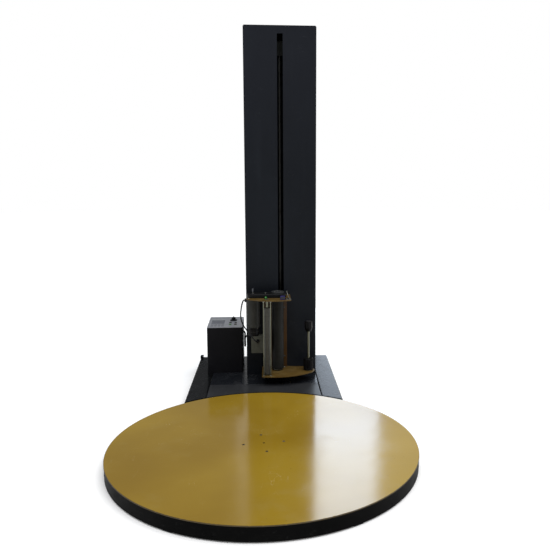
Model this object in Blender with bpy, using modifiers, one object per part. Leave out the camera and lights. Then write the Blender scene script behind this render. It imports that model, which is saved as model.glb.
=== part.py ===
"""Turntable pallet wrapper.

A round turntable on a low steel bed, a hollow mast on the rear base, a film carriage that climbs
the mast on a chain, and a small control cabinet.  Metres, +Z up.  The origin is on the floor under
the turntable's axis, +X is the operator's right and +Y runs from the turntable to the mast.
"""
import math

import bmesh
import bpy
from mathutils import Matrix, Vector

# Clearances
GAP = 0.0003                # between faces that touch
OVERLAP = 0.002             # how far a lump reaches into the piece that it is joined to
CUT_REACH = 0.020           # how far a cutter reaches past the face that it cuts
SIDES = 32                  # segments of an ordinary round
CHORD_FLATNESS = 0.0002     # how far a chain's chords may cut inside its circle
WIDE_SIDES = 96             # segments of the turntable's round

# Turntable
TABLE_RADIUS = 0.825
TABLE_TOP = 0.080
TABLE_PLATE = 0.006
CENTRE_HOLE = 0.006
SKIRT_WALL = 0.004
SKIRT_INSET = 0.0015
SKIRT_RUNNING_GAP = 0.0015  # from the fixed skirt up to the turning plate
SKIRT_SLOT_X = (-0.090, 0.225)      # the slot that the drive chain runs through
SKIRT_SLOT_DROP = 0.004     # from the chain down to the slot's edge
HUB_RADIUS = 0.140
HUB_FLANGE = 0.008
HUB_BOSS_RADIUS = 0.045
HUB_BOSS_BOTTOM = 0.024
STUD_RADIUS = 0.007
STUD_CIRCLE = 0.110
STUD_TURN = math.radians(8.4)
STUD_COUNT = 4

# Bed under the turntable
POST_RADIUS = 0.025
BED_HUB_RADIUS = 0.120
ARM_COUNT = 6
ARM_WIDTH = 0.050
ARM_HEIGHT = 0.020
WHEEL_TRACK = 0.700         # radius of the ring that the support wheels stand on
WHEEL_RADIUS = 0.025
WHEEL_WIDTH = 0.024
WHEEL_PIN = 0.006
WHEEL_WELL_GAP = 0.003      # between a support wheel and the arm under it
EAR_WALL = 0.008
EAR_WIDTH = 0.030
EAR_ABOVE_PIN = 0.011
TIE_OFFSET = 0.300          # the two flat bars that tie the bed to the rear base, under the skirt
TIE_HEIGHT = 0.006

# Rear base
BASE_LEFT = -0.510
BASE_RIGHT = 0.515
BASE_REAR = 1.740
BASE_JOINT = 1.012          # where the bridge cover meets the deck plate
TABLE_GAP = 0.015
MEMBER_WIDTH = 0.135
MEMBER_WALL = 0.005
MEMBER_START = 0.600
DECK_PLATE = 0.006
RIB_WIDTH = 0.040
RIB_LEFT_X = -0.200
RIB_RIGHT_X = 0.330
FRONT_BAR_HEIGHT = 0.048
BAR_DEPTH = 0.038
BRIDGE_RIB_Y = (0.860, 1.000)
BRIDGE_RIB_WIDTH = 0.010
LUG_SIZE = (0.022, 0.050, 0.020)

# Mast
MAST_WIDTH = 0.500
MAST_CENTRE_X = 0.130
MAST_FRONT = 1.250
MAST_DEPTH = 0.380
MAST_TOP = 2.550
MAST_WALL = 0.004
MAST_RETURN = 0.040
CAP_THICKNESS = 0.006
FOOT_PLATE = 0.010
SLOT_WIDTH = 0.040
SLOT_BOTTOM = 0.120
SLOT_TOP = 2.495
REAR_COVER_MARGIN = 0.020
REAR_COVER_WALL = 0.004
REAR_COVER_TOP_GAP = 0.004  # from its top edge up to the mast's top

# Guide rails and trolley
RAIL_OUTER = 0.105          # from the mast's centre to the rail's back
RAIL_FLANGE = 0.035
RAIL_WALL = 0.004
RAIL_FRONT = 1.310
RAIL_INNER_GAP = 0.046
RAIL_TOP = 2.470
TROLLEY_HALF_WIDTH = 0.045
TROLLEY_PLATE = 0.024
TROLLEY_BOTTOM = 0.170
TROLLEY_TOP = 0.620
TROLLEY_WHEEL_WIDTH = 0.024
TROLLEY_WHEEL_SIDE_GAP = 0.003
TROLLEY_WHEEL_HEIGHTS = (0.210, 0.580)
TROLLEY_PIN = 0.008
ARM_THICKNESS = 0.024
ARM_BOTTOM = 0.220
ARM_TOP = 0.600
ARM_FLANGE = 0.060
ARM_FLANGE_WALL = 0.008
ARM_FLANGE_MARGIN = 0.010   # above and below the arm
CLAMP_BOTTOM = 0.550
CLAMP_TOP = 0.590
CLAMP_WIDTH = 0.030

# Chains.  A chain is a band whose middle lies on the pitch line, just outside the teeth.
CHAIN_HALF_THICKNESS = 0.005
CHAIN_HALF_WIDTH = 0.005
SPROCKET_WIDTH = 0.008
TOOTH_DEPTH = 0.007
CHAIN_PITCH = 0.0254        # of the turntable's chain and the lift's chain
RING_TEETH = 48
DRIVE_TEETH = 12
DRIVE_X = 0.130
DRIVE_Y = 1.470
DRIVE_SHAFT = 0.012
SHAFT_HOLE = 0.018          # in the deck and the mast's foot, round the drive shaft
DRIVE_CHAIN_Z = 0.0614
LIFT_TEETH = 12
LIFT_Y = 1.450
LIFT_LOW_Z = 0.470
LIFT_HIGH_Z = 2.420
LIFT_SHAFT = 0.010
FEED_PITCH = 0.0127
MOTOR_TEETH = 15
ROLLER_TEETH = 25
FEED_CHAIN_RISE = 0.016     # from the top shelf to the chain's middle
FEED_SHAFT_END = 0.002      # of the roller's shaft, above its sprocket

# Gearmotors and the lower sprocket's bracket
GEARBOX_SIDE = 0.120
GEARBOX_HEIGHT = 0.110
DRIVE_MOTOR_RADIUS = 0.055
DRIVE_MOTOR_HEIGHT = 0.180
BRACKET_PLATE = 0.006
BRACKET_HALF_HEIGHT = 0.060
BRACKET_EAR_GAP = 0.015
BRACKET_EAR_HALF_HEIGHT = 0.030
BRACKET_EAR_REACH = 0.020   # behind the lower sprocket's axle
LIFT_BOX_X = (0.160, 0.250)
LIFT_BOX_HALF_HEIGHT = 0.048
LIFT_BOX_REACH = 0.050      # behind the upper sprocket's axle
LIFT_MOTOR_RADIUS = 0.044
LIFT_MOTOR_LENGTH = 0.200

# Control cabinet
CABINET_LEFT = -0.415
CABINET_RIGHT = -0.157
CABINET_FRONT = 1.300
CABINET_REAR = 1.630
CABINET_FRONT_TOP = 0.420
CABINET_REAR_TOP = 0.430
CABINET_WALL = 0.002
PANEL_THICKNESS = 0.004
SWITCH_PLACE = (0.185, 0.215)       # of the switch, from the cabinet's left and front
SWITCH_RADIUS = 0.017
SWITCH_HEIGHT = 0.022
SWITCH_STEM_DEPTH = 0.010
SWITCH_GRIP = (0.008, 0.029, 0.006)
INVERTER_SIZE = (0.110, 0.130, 0.190)
INVERTER_LIFT = 0.060       # above the deck
LEAD_RADIUS = 0.006

# Film carriage, in its lowest place
PLATE = 0.006
LOW_PLATE_TOP = 0.150
HIGH_PLATE_TOP = 0.683
BACK_PLATE_FRONT = 1.200
BACK_PLATE_X = (0.004, 0.170)
LOW_PLATE_LEFT = -0.012
LOW_PLATE_FRONT = (0.958, 0.948)    # of its left end and its foremost place
LOW_PLATE_BELLY = 0.146
HIGH_PLATE_X = (-0.114, 0.192)
HIGH_PLATE_FRONT = (1.030, 0.955, 0.975)    # of its left end, foremost place and right end
HIGH_PLATE_BELLY = 0.020
IDLER_PLACE = (0.026, 1.000)
IDLER_RADIUS = 0.025
IDLER_TOP = 0.627
IDLER_SHAFT = 0.008
FEED_PLACE = (0.1025, 1.120)
FEED_RADIUS = 0.041
FEED_TOP = 0.663
FEED_SHAFT = 0.009
ROLLER_LIFT = 0.008         # from the low plate up to a roller's sleeve
SHAFT_BOSS = 0.014
BAR_RADIUS = 0.0035
BAR_PLACES = ((0.002, 0.9665), (0.050, 0.9665))
MOTOR_PLACE = (-0.071, 1.100)
MOTOR_RADIUS = 0.049
MOTOR_BOTTOM = 0.470
MOTOR_END_RADIUS = 0.040
MOTOR_END_BOTTOM = 0.410
MOTOR_SHAFT = 0.007
MOTOR_SHAFT_DEPTH = 0.030
MOTOR_BOSS_X = (-0.130, -0.107)
MOTOR_BOSS_WIDTH = 0.030
MOTOR_BOSS_Z = (0.026, 0.003)       # of its low and high edge, below the motor's top
BOX_X = (-0.086, -0.002)
BOX_Y = (1.060, 1.140)
BOX_HEIGHT = 0.120
GLAND_X = -0.039
GLAND_DROP = 0.030
GLAND_RADIUS = 0.012
GLAND_LENGTH = 0.025
CABLE_RADIUS = 0.0045
COVER_HEIGHT = 0.027
COVER_WALL = 0.002
COVER_CLEARANCE = 0.005
CAP_RADIUS = 0.046
CAP_HEIGHT = 0.012
SENSOR_FOOT = (0.034, 0.040, 0.003)
SENSOR_LEAN = math.radians(-20.0)
SENSOR_HEIGHT = 0.060
SENSOR_FRONT = 0.985
SENSOR_PLATE_INSET = 0.010  # of the leaning plate's foot, from the foot's right end

# Film spool
SPOOL_PLACE = (0.320, 1.105)
SPOOL_FOOT_RADIUS = 0.030
SPOOL_FOOT = 0.005
SPOOL_HUB_RADIUS = 0.036
SPOOL_HUB_TOP = 0.235
SPOOL_ROD_RADIUS = 0.0075
SPOOL_COLLAR_RADIUS = 0.010
SPOOL_COLLAR = 0.008
SPOOL_PIN_RADIUS = 0.006
SPOOL_PIN_LENGTH = 0.060
KNOB_BOTTOM = 0.433
KNOB_HEIGHT = 0.074
KNOB_RADIUS = 0.028
KNOB_NECK_RADIUS = 0.020
KNOB_CONE = 0.022
KNOB_EDGE = 0.008
KNOB_HEADROOM = 0.002
HUB_EDGE = (0.003, 0.006)

# Colours: red, green, blue, roughness, metallic
YELLOW = (0.290, 0.190, 0.036, 0.20, 0.0)
BLACK_PAINT = (0.012, 0.012, 0.012, 0.45, 0.0)
DARK_STEEL = (0.030, 0.033, 0.038, 0.35, 0.3)
GREY_MOTOR = (0.110, 0.115, 0.100, 0.45, 0.2)
LIGHT_GREY = (0.200, 0.205, 0.190, 0.50, 0.0)
SILVER = (0.330, 0.335, 0.345, 0.40, 0.3)
STEEL = (0.300, 0.300, 0.290, 0.30, 0.9)
RUBBER = (0.018, 0.018, 0.018, 0.80, 0.0)
PLASTIC = (0.010, 0.010, 0.010, 0.50, 0.0)
NYLON = (0.550, 0.540, 0.500, 0.50, 0.0)

# Worked out from the values above
UNDERSIDE = TABLE_TOP - TABLE_PLATE
WHEEL_Z = UNDERSIDE - GAP - WHEEL_RADIUS
ARC_RADIUS = TABLE_RADIUS + TABLE_GAP
DECK_UNDER = TABLE_TOP - DECK_PLATE
INNER_LEFT = BASE_LEFT + MEMBER_WIDTH + GAP
INNER_RIGHT = BASE_RIGHT - MEMBER_WIDTH - GAP
MAST_LEFT = MAST_CENTRE_X - MAST_WIDTH / 2
MAST_RIGHT = MAST_CENTRE_X + MAST_WIDTH / 2
MAST_REAR = MAST_FRONT + MAST_DEPTH
MAST_FOOT = TABLE_TOP + GAP
RAIL_REAR = RAIL_FRONT + RAIL_INNER_GAP + 2 * RAIL_WALL
RAIL_MIDDLE = RAIL_FRONT + RAIL_WALL + RAIL_INNER_GAP / 2
TROLLEY_WHEEL_RADIUS = RAIL_INNER_GAP / 2 - GAP
TROLLEY_WHEEL_X = RAIL_OUTER - RAIL_WALL - GAP - TROLLEY_WHEEL_SIDE_GAP - TROLLEY_WHEEL_WIDTH / 2
LOW_PLATE_UNDER = LOW_PLATE_TOP - PLATE
HIGH_PLATE_UNDER = HIGH_PLATE_TOP - PLATE
FEED_CHAIN_Z = HIGH_PLATE_TOP + FEED_CHAIN_RISE

scene_parts = bpy.data.collections.new("turntable_pallet_wrapper")
scene_cutters = bpy.data.collections.new("cutters")


# Tools that every sub-part uses

def pitch_radius(pitch, teeth):
    """Radius of the circle that a chain of this pitch follows on a sprocket."""
    return pitch / (2 * math.sin(math.pi / teeth))


def paint(name, look):
    """A material from a colour, roughness and metallic value."""
    material = bpy.data.materials.new(name)
    material.use_nodes = True
    shader = material.node_tree.nodes["Principled BSDF"]
    shader.inputs["Base Color"].default_value = (look[0], look[1], look[2], 1.0)
    shader.inputs["Roughness"].default_value = look[3]
    shader.inputs["Metallic"].default_value = look[4]
    return material


def add(name, mesh, look=None, body=None, place=(0, 0, 0), turn=(0, 0, 0)):
    """An object that is a sub-part when it has a look, and a cutter or a lump to join when not."""
    piece = bpy.data.objects.new(name, mesh)
    piece.location = place
    piece.rotation_euler = turn
    if look is None:
        scene_cutters.objects.link(piece)
        piece.hide_render = True
        piece.display_type = "WIRE"
        return piece
    scene_parts.objects.link(piece)
    mesh.materials.append(paint(name, look))
    if body is not None:
        piece.parent = body
        piece.matrix_parent_inverse = Matrix.Translation(-body.location)
    return piece


def body_empty(name, place):
    """An empty on a joint's axis, which the pieces of a moving body are parented to."""
    empty = bpy.data.objects.new(name, None)
    empty.location = place
    empty.empty_display_size = 0.1
    scene_parts.objects.link(empty)
    return empty


def mesh_from(work, name):
    """A mesh from a bmesh, smooth where it is round."""
    mesh = bpy.data.meshes.new(name)
    work.to_mesh(mesh)
    work.free()
    mesh.shade_smooth()
    mesh.set_sharp_from_angle(angle=math.radians(30))
    return mesh


def block(name, low, high, look=None, body=None):
    """A box between two corners."""
    size = [b - a for a, b in zip(low, high)]
    centre = [(a + b) / 2 for a, b in zip(low, high)]
    work = bmesh.new()
    bmesh.ops.create_cube(work, size=1.0)
    bmesh.ops.scale(work, vec=size, verts=work.verts)
    return add(name, mesh_from(work, name), look, body, centre)


def rod(name, radius, start, end, look=None, body=None, sides=SIDES):
    """A cylinder between two points."""
    start = Vector(start)
    end = Vector(end)
    work = bmesh.new()
    bmesh.ops.create_cone(
        work, cap_ends=True, segments=sides, radius1=radius, radius2=radius, depth=(end - start).length)
    turn = (end - start).to_track_quat("Z", "Y").to_euler()
    return add(name, mesh_from(work, name), look, body, (start + end) / 2, turn)


def upright_cutter(name, radius, place=(0, 0), sides=SIDES):
    """A round cutter through everything from the floor to above the deck."""
    return rod(name, radius, (*place, -CUT_REACH), (*place, TABLE_TOP + CUT_REACH), sides=sides)


def turned(name, profile, look=None, body=None, place=(0, 0, 0), turn=(0, 0, 0), sides=SIDES, ring=False):
    """A turned shape from (radius, height) points that run down the outer side."""
    work = bmesh.new()
    points = [work.verts.new((radius, 0, height)) for radius, height in profile]
    for one, two in zip(points, points[1:]):
        work.edges.new((one, two))
    if ring:
        work.edges.new((points[-1], points[0]))
    piece = add(name, mesh_from(work, name), look, body, place, turn)
    screw = piece.modifiers.new("turn", "SCREW")
    screw.steps = sides
    screw.render_steps = sides
    screw.use_merge_vertices = True
    screw.merge_threshold = 0.0001
    return piece


def flat(name, loops, half, look=None, body=None, place=(0, 0, 0), turn=(0, 0, 0)):
    """A flat plate of twice the half thickness, from an outline and any holes."""
    curve = bpy.data.curves.new(name, "CURVE")
    curve.dimensions = "2D"
    curve.fill_mode = "BOTH"
    curve.extrude = half
    for loop in loops:
        spline = curve.splines.new("POLY")
        spline.points.add(len(loop) - 1)
        for point, (x, y) in zip(spline.points, loop):
            point.co = (x, y, 0, 1)
        spline.use_cyclic_u = True
    return solid_from(curve, name, look, body, place, turn)


def solid_from(curve, name, look, body, place, turn):
    """A closed mesh object from a curve, which modifiers can cut and join."""
    guide = bpy.data.objects.new(name + "_curve", curve)
    bpy.context.scene.collection.objects.link(guide)
    bpy.context.view_layer.update()
    evaluated = guide.evaluated_get(bpy.context.evaluated_depsgraph_get())
    mesh = bpy.data.meshes.new_from_object(evaluated)
    work = bmesh.new()
    work.from_mesh(mesh)
    bmesh.ops.remove_doubles(work, verts=work.verts, dist=0.00001)
    bpy.data.objects.remove(guide)
    return add(name, mesh_from(work, name), look, body, place, turn)


def tube(name, points, radius, look, body=None):
    """A round cord through points, as a curve with filled caps."""
    curve = bpy.data.curves.new(name, "CURVE")
    curve.dimensions = "3D"
    curve.bevel_depth = radius
    curve.bevel_resolution = 2
    curve.use_fill_caps = True
    spline = curve.splines.new("POLY")
    spline.points.add(len(points) - 1)
    for place, point in zip(spline.points, points):
        place.co = (*point, 1)
    return solid_from(curve, name, look, body, (0, 0, 0), (0, 0, 0))


def modify(piece, others, operation):
    """Cut other objects from a piece, or join them to it."""
    for other in others:
        step = piece.modifiers.new(operation.lower(), "BOOLEAN")
        step.operation = operation
        step.solver = "EXACT"
        step.object = other
    return piece


def cut(piece, *others):
    return modify(piece, others, "DIFFERENCE")


def join(piece, *others):
    return modify(piece, others, "UNION")


def circle(radius, place=(0, 0), sides=SIDES):
    """Points on a circle."""
    turns = [2 * math.pi * step / sides for step in range(sides)]
    return [(place[0] + radius * math.cos(a), place[1] + radius * math.sin(a)) for a in turns]


def arc_through(first, middle, last, steps):
    """Points on the arc that runs through three points."""
    ax, ay = first
    bx, by = middle
    cx, cy = last
    double = 2 * (ax * (by - cy) + bx * (cy - ay) + cx * (ay - by))
    squares = [x * x + y * y for x, y in (first, middle, last)]
    mid_x = (squares[0] * (by - cy) + squares[1] * (cy - ay) + squares[2] * (ay - by)) / double
    mid_y = (squares[0] * (cx - bx) + squares[1] * (ax - cx) + squares[2] * (bx - ax)) / double
    radius = math.hypot(ax - mid_x, ay - mid_y)
    begin = math.atan2(ay - mid_y, ax - mid_x)
    sweep = math.atan2(cy - mid_y, cx - mid_x) - begin
    through = math.atan2(by - mid_y, bx - mid_x) - begin
    if (through % (2 * math.pi)) > (sweep % (2 * math.pi)):
        sweep = sweep % (2 * math.pi) - 2 * math.pi
    else:
        sweep = sweep % (2 * math.pi)
    turns = [begin + sweep * step / steps for step in range(steps + 1)]
    return [(mid_x + radius * math.cos(a), mid_y + radius * math.sin(a)) for a in turns]


def arc_turns(begin, sweep, radius):
    """Angles along an arc, close enough for its chords to stay within the flatness of the circle."""
    steps = math.ceil(sweep / math.sqrt(8 * CHORD_FLATNESS / radius))
    return [begin + sweep * step / steps for step in range(steps + 1)]


def belt_loop(first, first_radius, second, second_radius):
    """The outline of a tight loop around two circles, each given by its middle and radius."""
    dx = second[0] - first[0]
    dy = second[1] - first[1]
    direction = math.atan2(dy, dx)
    tilt = math.acos((first_radius - second_radius) / math.hypot(dx, dy))
    far = arc_turns(direction - tilt, 2 * tilt, second_radius)
    near = arc_turns(direction + tilt, 2 * (math.pi - tilt), first_radius)
    loop = [(second[0] + second_radius * math.cos(a), second[1] + second_radius * math.sin(a)) for a in far]
    loop += [(first[0] + first_radius * math.cos(a), first[1] + first_radius * math.sin(a)) for a in near]
    return loop


def sprocket_outline(pitch, teeth):
    """The toothed outline of a sprocket that fits inside its chain's band."""
    tip = pitch_radius(pitch, teeth) - CHAIN_HALF_THICKNESS - CHORD_FLATNESS - GAP
    root = tip - TOOTH_DEPTH
    points = []
    for tooth in range(teeth):
        middle = 2 * math.pi * tooth / teeth
        step = math.pi / teeth
        for offset, radius in ((-0.75, root), (-0.25, tip), (0.25, tip), (0.75, root)):
            angle = middle + offset * step
            points.append((radius * math.cos(angle), radius * math.sin(angle)))
    return points


def chain(name, first, second, pitch, teeth, place, turn, body):
    """A chain as a closed band around two sprockets, each given by its middle in the chain's plane."""
    loops = []
    for side in (1, -1):
        radii = [pitch_radius(pitch, count) + side * CHAIN_HALF_THICKNESS for count in teeth]
        loops.append(belt_loop(first, radii[0], second, radii[1]))
    return flat(name, loops, CHAIN_HALF_WIDTH, DARK_STEEL, body, place, turn)


def smooth_route(points, step):
    """Points about one step apart on a smooth curve through the route's own points."""
    places = [Vector(point) for point in points]
    ends = [2 * places[0] - places[1]] + places + [2 * places[-1] - places[-2]]
    route = []
    for a, b, c, d in zip(ends, ends[1:], ends[2:], ends[3:]):
        count = max(1, round((c - b).length / step))
        for index in range(count):
            t = index / count
            route.append(0.5 * (2 * b + (c - a) * t + (2 * a - 5 * b + 4 * c - d) * t * t
                                + (3 * b - a - 3 * c + d) * t * t * t))
    route.append(places[-1])
    return route


# An axis along X for a shape that is made around Z
ALONG_X = (math.radians(90), 0, math.radians(90))


# Turntable and its bed

def make_turntable(body):
    """The disc, its bearing hub and the ring sprocket."""
    angles = [STUD_TURN + 2 * math.pi * index / STUD_COUNT for index in range(STUD_COUNT)]
    places = [(STUD_CIRCLE * math.cos(a), STUD_CIRCLE * math.sin(a)) for a in angles]
    holes = [circle(STUD_RADIUS + GAP, place, 16) for place in places]
    plate_middle = TABLE_TOP - TABLE_PLATE / 2
    flat("turntable_plate", [circle(TABLE_RADIUS, sides=WIDE_SIDES), circle(CENTRE_HOLE, sides=16)] + holes,
         TABLE_PLATE / 2, YELLOW, body, (0, 0, plate_middle))
    top = UNDERSIDE - GAP
    bore = POST_RADIUS + GAP
    flange_under = top - HUB_FLANGE
    hub = turned("turntable_hub", [(HUB_RADIUS, top), (HUB_RADIUS, flange_under),
                 (HUB_BOSS_RADIUS, flange_under), (HUB_BOSS_RADIUS, HUB_BOSS_BOTTOM),
                 (bore, HUB_BOSS_BOTTOM), (bore, top)], DARK_STEEL, body, ring=True)
    stud_top = TABLE_TOP - GAP
    studs = [rod("stud_lump", STUD_RADIUS, (x, y, top - HUB_FLANGE / 2), (x, y, stud_top), sides=16)
             for x, y in places]
    join(hub, *studs)
    flat("ring_sprocket", [sprocket_outline(CHAIN_PITCH, RING_TEETH), circle(HUB_BOSS_RADIUS + GAP)],
         SPROCKET_WIDTH / 2, DARK_STEEL, body, (0, 0, DRIVE_CHAIN_Z))


def make_bed():
    """The star of arms with the centre post and the wheels' ears, and the fixed skirt around it."""
    bed = rod("bed_frame", BED_HUB_RADIUS, (0, 0, 0), (0, 0, ARM_HEIGHT), DARK_STEEL)
    lumps = [rod("post_lump", POST_RADIUS, (0, 0, ARM_HEIGHT / 2), (0, 0, UNDERSIDE - GAP))]
    ear_reach = WHEEL_WIDTH / 2 + GAP + EAR_WALL
    skirt_outer = TABLE_RADIUS - SKIRT_INSET
    skirt_inner = skirt_outer - SKIRT_WALL
    arm_end = skirt_inner - ARM_WIDTH / 2 * math.tan(math.pi / WIDE_SIDES) - GAP
    for index in range(ARM_COUNT):
        angle = 2 * math.pi * index / ARM_COUNT
        arm = block("arm_lump", (0.5 * BED_HUB_RADIUS, -ARM_WIDTH / 2, 0),
                    (arm_end, ARM_WIDTH / 2, ARM_HEIGHT))
        well_reach = WHEEL_WIDTH / 2 + GAP + OVERLAP
        well = rod("well_cutter", WHEEL_RADIUS + WHEEL_WELL_GAP, (WHEEL_TRACK - well_reach, 0, WHEEL_Z),
                   (WHEEL_TRACK + well_reach, 0, WHEEL_Z))
        cut(arm, well)
        ears = []
        for side in (-1, 1):
            middle = WHEEL_TRACK + side * (ear_reach - EAR_WALL / 2)
            ears.append(block("ear_lump", (middle - EAR_WALL / 2, -EAR_WIDTH / 2, ARM_HEIGHT / 2),
                              (middle + EAR_WALL / 2, EAR_WIDTH / 2, WHEEL_Z + EAR_ABOVE_PIN)))
        pin_reach = ear_reach - EAR_WALL / 2
        pin = rod("pin_lump", WHEEL_PIN, (WHEEL_TRACK - pin_reach, 0, WHEEL_Z),
                  (WHEEL_TRACK + pin_reach, 0, WHEEL_Z), sides=16)
        for lump in [arm, well, pin] + ears:
            lump.matrix_world = Matrix.Rotation(angle, 4, "Z") @ lump.matrix_basis
        lumps += [arm, pin] + ears
    for side in (-1, 1):
        lumps.append(block("tie_lump", (side * TIE_OFFSET - ARM_WIDTH / 2, 0.0, 0),
                           (side * TIE_OFFSET + ARM_WIDTH / 2, BASE_JOINT - GAP, TIE_HEIGHT)))
    join(bed, *lumps)
    low = TIE_HEIGHT + GAP
    high = UNDERSIDE - SKIRT_RUNNING_GAP
    profile = [(skirt_outer, high), (skirt_outer, low), (skirt_inner, low), (skirt_inner, high)]
    skirt = turned("bed_skirt", profile, BLACK_PAINT, sides=WIDE_SIDES, ring=True)
    slot_low = DRIVE_CHAIN_Z - CHAIN_HALF_WIDTH - SKIRT_SLOT_DROP
    cut(skirt, block("chain_slot_cutter", (SKIRT_SLOT_X[0], 0.5 * TABLE_RADIUS, slot_low),
                     (SKIRT_SLOT_X[1], ARC_RADIUS, TABLE_TOP)))


def make_support_wheels():
    """The wheels that the turntable's plate runs on, each with its axle pointing outwards."""
    half = WHEEL_WIDTH / 2
    bore = WHEEL_PIN + GAP
    profile = [(WHEEL_RADIUS, half), (WHEEL_RADIUS, -half), (bore, -half), (bore, half)]
    for index in range(ARM_COUNT):
        angle = 2 * math.pi * index / ARM_COUNT
        place = (WHEEL_TRACK * math.cos(angle), WHEEL_TRACK * math.sin(angle), WHEEL_Z)
        turned(f"support_wheel_{index + 1}", profile, NYLON, None, place,
               (ALONG_X[0], 0, ALONG_X[2] + angle), sides=24, ring=True)


# Rear base

def make_side_member(name, low_x, high_x, lug_x=None):
    """A hollow side member, open at both ends for a fork, with its front end round the turntable."""
    middle = ((low_x + high_x) / 2, (MEMBER_START + BASE_REAR) / 2, TABLE_TOP / 2)
    work = bmesh.new()
    bmesh.ops.create_cube(work, size=1.0)
    bmesh.ops.scale(work, vec=(high_x - low_x, BASE_REAR - MEMBER_START, TABLE_TOP), verts=work.verts)
    ends = [face for face in work.faces if abs(face.normal.y) > 0.5]
    bmesh.ops.delete(work, geom=ends, context="FACES_ONLY")
    member = add(name, mesh_from(work, name), DARK_STEEL, None, middle)
    wall = member.modifiers.new("wall", "SOLIDIFY")
    wall.thickness = MEMBER_WALL
    wall.offset = -1
    wall.use_even_offset = True
    cut(member, upright_cutter("round_cutter", ARC_RADIUS, sides=WIDE_SIDES))
    if lug_x is not None:
        width, depth, height = LUG_SIZE
        join(member, block("lug_lump", (lug_x, BASE_REAR - depth, TABLE_TOP - MEMBER_WALL / 2),
                           (lug_x + width, BASE_REAR, TABLE_TOP + height)))


def make_rear_base():
    """Side members, the ribs between them, the deck plate and the bridge cover to the turntable."""
    make_side_member("side_member_left", BASE_LEFT, BASE_LEFT + MEMBER_WIDTH, BASE_LEFT)
    make_side_member("side_member_right", BASE_RIGHT - MEMBER_WIDTH, BASE_RIGHT)
    rib_top = DECK_UNDER - GAP
    start = BASE_JOINT + GAP
    frame = block("rear_frame", (INNER_LEFT, BASE_REAR - BAR_DEPTH, 0), (INNER_RIGHT, BASE_REAR, rib_top),
                  DARK_STEEL)
    lumps = [block("bar_lump", (INNER_LEFT, start, 0), (INNER_RIGHT, start + BAR_DEPTH, FRONT_BAR_HEIGHT))]
    for x in (RIB_LEFT_X, RIB_RIGHT_X):
        lumps.append(block("rib_lump", (x - RIB_WIDTH / 2, start + BAR_DEPTH / 2, 0),
                           (x + RIB_WIDTH / 2, BASE_REAR - BAR_DEPTH / 2, rib_top)))
    join(frame, *lumps)
    deck = block("deck_plate", (INNER_LEFT, start, DECK_UNDER), (INNER_RIGHT, BASE_REAR, TABLE_TOP),
                 DARK_STEEL)
    cut(deck, upright_cutter("shaft_cutter", SHAFT_HOLE, (DRIVE_X, DRIVE_Y)))
    bridge = block("bridge_cover", (INNER_LEFT, 0.5 * ARC_RADIUS, DECK_UNDER),
                   (INNER_RIGHT, BASE_JOINT - GAP, TABLE_TOP), DARK_STEEL)
    rib = BRIDGE_RIB_WIDTH / 2
    for side in (-1, 1):
        join(bridge, block("bridge_rib_lump", (side * TIE_OFFSET - rib, BRIDGE_RIB_Y[0], TIE_HEIGHT + GAP),
                           (side * TIE_OFFSET + rib, BRIDGE_RIB_Y[1], DECK_UNDER + DECK_PLATE / 2)))
    cut(bridge, upright_cutter("bridge_cutter", ARC_RADIUS, sides=WIDE_SIDES))


# Turntable drive

def make_turntable_drive():
    """The gearmotor in the mast's foot, its sprocket and the chain to the ring sprocket."""
    foot_top = MAST_FOOT + FOOT_PLATE
    low = foot_top + GAP
    half = GEARBOX_SIDE / 2
    gearmotor = block("drive_gearmotor", (DRIVE_X - half, DRIVE_Y - half, low),
                      (DRIVE_X + half, DRIVE_Y + half, low + GEARBOX_HEIGHT), GREY_MOTOR)
    motor_base = low + GEARBOX_HEIGHT - OVERLAP
    join(gearmotor, rod("motor_lump", DRIVE_MOTOR_RADIUS, (DRIVE_X, DRIVE_Y, motor_base),
                        (DRIVE_X, DRIVE_Y, motor_base + DRIVE_MOTOR_HEIGHT)))
    shaft_top = low + GEARBOX_HEIGHT / 2
    cut(gearmotor, rod("gearbox_cutter", DRIVE_SHAFT + GAP, (DRIVE_X, DRIVE_Y, 0),
                       (DRIVE_X, DRIVE_Y, shaft_top)))
    place = (DRIVE_X, DRIVE_Y, DRIVE_CHAIN_Z)
    sprocket = flat("drive_sprocket", [sprocket_outline(CHAIN_PITCH, DRIVE_TEETH)], SPROCKET_WIDTH / 2,
                    DARK_STEEL, None, place)
    join(sprocket, rod("drive_shaft_lump", DRIVE_SHAFT, place, (DRIVE_X, DRIVE_Y, shaft_top - OVERLAP)))
    chain("drive_chain", (0, 0), (DRIVE_X, DRIVE_Y), CHAIN_PITCH, (RING_TEETH, DRIVE_TEETH),
          (0, 0, DRIVE_CHAIN_Z), (0, 0, 0), None)


# Mast

def open_sheet(name, path, low, high, wall, look):
    """A bent upright sheet: a path in plan with its inside on the left, raised and thickened inwards."""
    work = bmesh.new()
    points = [work.verts.new((x, y, low)) for x, y in path]
    edges = [work.edges.new((one, two)) for one, two in zip(points, points[1:])]
    raised = bmesh.ops.extrude_edge_only(work, edges=edges)["geom"]
    top = [item for item in raised if isinstance(item, bmesh.types.BMVert)]
    bmesh.ops.translate(work, vec=(0, 0, high - low), verts=top)
    bmesh.ops.reverse_faces(work, faces=work.faces)
    sheet = add(name, mesh_from(work, name), look)
    skin = sheet.modifiers.new("wall", "SOLIDIFY")
    skin.thickness = wall
    skin.offset = -1
    skin.use_even_offset = True
    return sheet


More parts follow.
